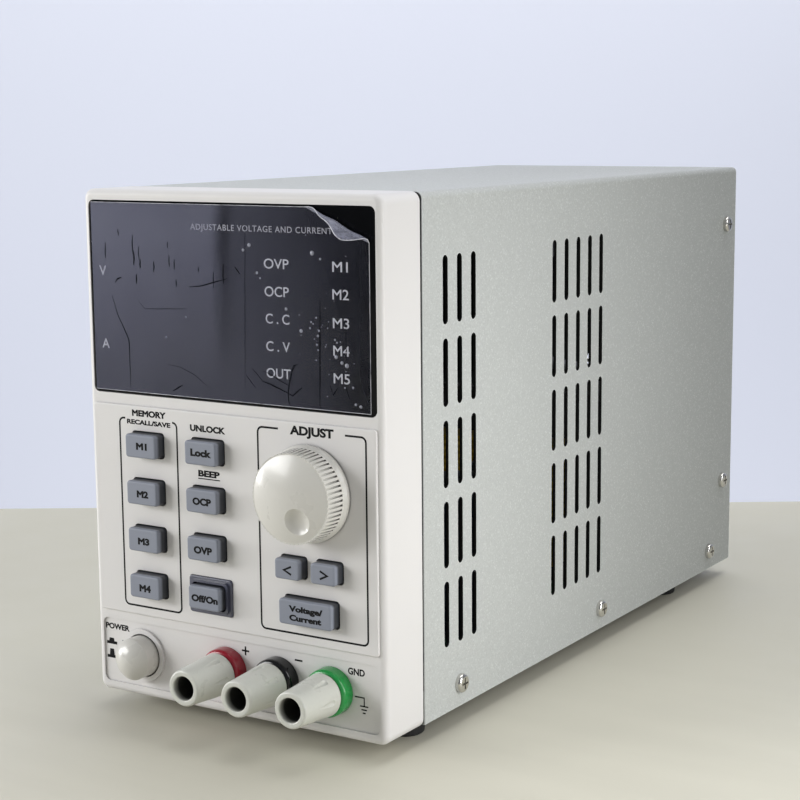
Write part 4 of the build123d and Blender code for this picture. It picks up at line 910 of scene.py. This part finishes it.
AZIMUTH, ELEVATION, ROLL = math.radians(32.38), math.radians(9.06), math.radians(-0.52)
CAMERA_SPOT = Vector((0.32610, -0.53912, 0.18734))
FOCAL_WIDTHS = 1793.17 / 800  # focal length over picture width
TABLE_REACH = 0.851  # from under the camera to the table's far edge


def camera():
    """The camera, at the photograph's angle."""
    ahead = Vector((-math.sin(AZIMUTH) * math.cos(ELEVATION), math.cos(AZIMUTH) * math.cos(ELEVATION),
                    -math.sin(ELEVATION)))
    right = ahead.cross(Vector((0, 0, 1))).normalized()
    up = right.cross(ahead)
    right, up = (right * math.cos(ROLL) + up * math.sin(ROLL), up * math.cos(ROLL) - right * math.sin(ROLL))
    data = bpy.data.cameras.new("camera")
    data.sensor_width = 36
    data.lens = data.sensor_width * FOCAL_WIDTHS
    data.clip_start = 0.01
    holder = place("camera", data)
    turn = Matrix((right, up, -ahead)).transposed()
    holder.matrix_world = Matrix.Translation(CAMERA_SPOT) @ turn.to_4x4()
    bpy.context.scene.camera = holder


def stage_sheet(name, corners, material):
    """Adds a flat sheet that isn't part of the object."""
    data = bpy.data.meshes.new(name)
    data.from_pydata([Vector(c) for c in corners], [], [(0, 1, 2, 3)])
    data.materials.append(material)
    place(name, data)


def table_top():
    """Pale table, nearly plain: a faint lengthwise variation, and painted light making it a little paler
    towards the camera.
    """
    g = Graph("table_top")
    base = linear("cdcabb")
    distance = g.plus(g.times(g.axis(0), -0.535), g.times(g.axis(1), 0.845))  # along the line of sight
    # Painted light: paler towards the camera, darker towards the far edge.
    near = g.span(distance, 60, -130)
    drift = g.noise(160, 3, (1, 0.12, 1))
    colour = g.mix(drift, shade(base, 0.93), shade(base, 1.05))
    g.set(Base_Color=g.mix(near, shade(base, 0.88), colour), Roughness=g.uneven(30, 3, 0.5, 0.62),
          Normal=g.bump(g.noise(1.5, 3), 0.02))
    return g.material


def wall_paint():
    """Matt paint, very slightly uneven."""
    g = Graph("wall_paint")
    base = linear("dfe3f1")
    g.set(Base_Color=g.mix(g.noise(900, 2), shade(base, 0.97), shade(base, 1.03)), Roughness=0.9,
          Normal=g.bump(g.noise(3, 2), 0.05))
    return g.material


def surroundings():
    """A pale table that ends behind the object, and a wall well beyond it."""
    table_behind, table_half, wall_gap, wall_half, wall_low, wall_top = 1.6, 2.6, 0.9, 4.0, -1.6, 2.6
    ahead = Vector((-math.sin(AZIMUTH), math.cos(AZIMUTH), 0))
    side = Vector((ahead.y, -ahead.x, 0))
    under = Vector((CAMERA_SPOT.x, CAMERA_SPOT.y, 0))
    far, near, wide = under + ahead * TABLE_REACH, under - ahead * table_behind, side * table_half
    stage_sheet("table", [near - wide, near + wide, far + wide, far - wide], table_top())
    wall, broad = far + ahead * wall_gap, side * wall_half
    low, high = Vector((0, 0, wall_low)), Vector((0, 0, wall_top))
    stage_sheet("wall", [wall - broad + low, wall + broad + low, wall + broad + high, wall - broad + high],
                wall_paint())


def lamp(name, spot, aim, watts, wide, high, spread=180):
    """A rectangle of light, `wide` by `high` metres, shining from one point towards another."""
    data = bpy.data.lights.new(name, "AREA")
    data.shape = "RECTANGLE"
    data.size = wide
    data.size_y = high
    data.energy = watts
    data.spread = math.radians(spread)
    holder = place(name, data)
    holder.location = spot
    holder.rotation_euler = (Vector(aim) - Vector(spot)).to_track_quat("-Z", "Y").to_euler()


def lighting():
    """Daylight from the front left, a soft lamp overhead and on the right, and two lamps for the wall."""
    world = bpy.data.worlds.new("sky")
    world.use_nodes = True
    background = world.node_tree.nodes["Background"]
    background.inputs["Color"].default_value = (0.92, 0.95, 1.0, 1)
    background.inputs["Strength"].default_value = 0.23
    bpy.context.scene.world = world
    front = (0, -0.12, 0.08)
    lamp("window", (-0.95, -0.91, 0.48), front, watts=9.8, wide=0.75, high=0.4)
    lamp("low_window", (-1.2, -0.45, 0.18), front, watts=4.8, wide=0.3, high=0.34)
    lamp("overhead", (0.15, 0.25, 1.4), (0, 0, 0), watts=8.5, wide=0.8, high=0.8)
    lamp("side", (0.95, -0.15, 0.7), (0.05, 0, 0.08), watts=3.4, wide=0.5, high=0.5)
    lamp("low_side", (0.36, -0.09, 0.09), (0.055, -0.08, 0.08), watts=0.12, wide=0.12, high=0.12, spread=85)
    lamp("wall_wash", (-0.2, 0.6, 1.0), (-0.47, 1.03, 0.5), watts=4.9, wide=1.6, high=0.3)
    lamp("wall_foot", (-0.2, 0.66, -0.5), (-0.46, 1.07, 0.15), watts=2.4, wide=1.4, high=0.3)
    view = bpy.context.scene.view_settings
    view.view_transform = "Standard"
    view.look = "None"
    view.exposure = 0.0


camera()
surroundings()
lighting()
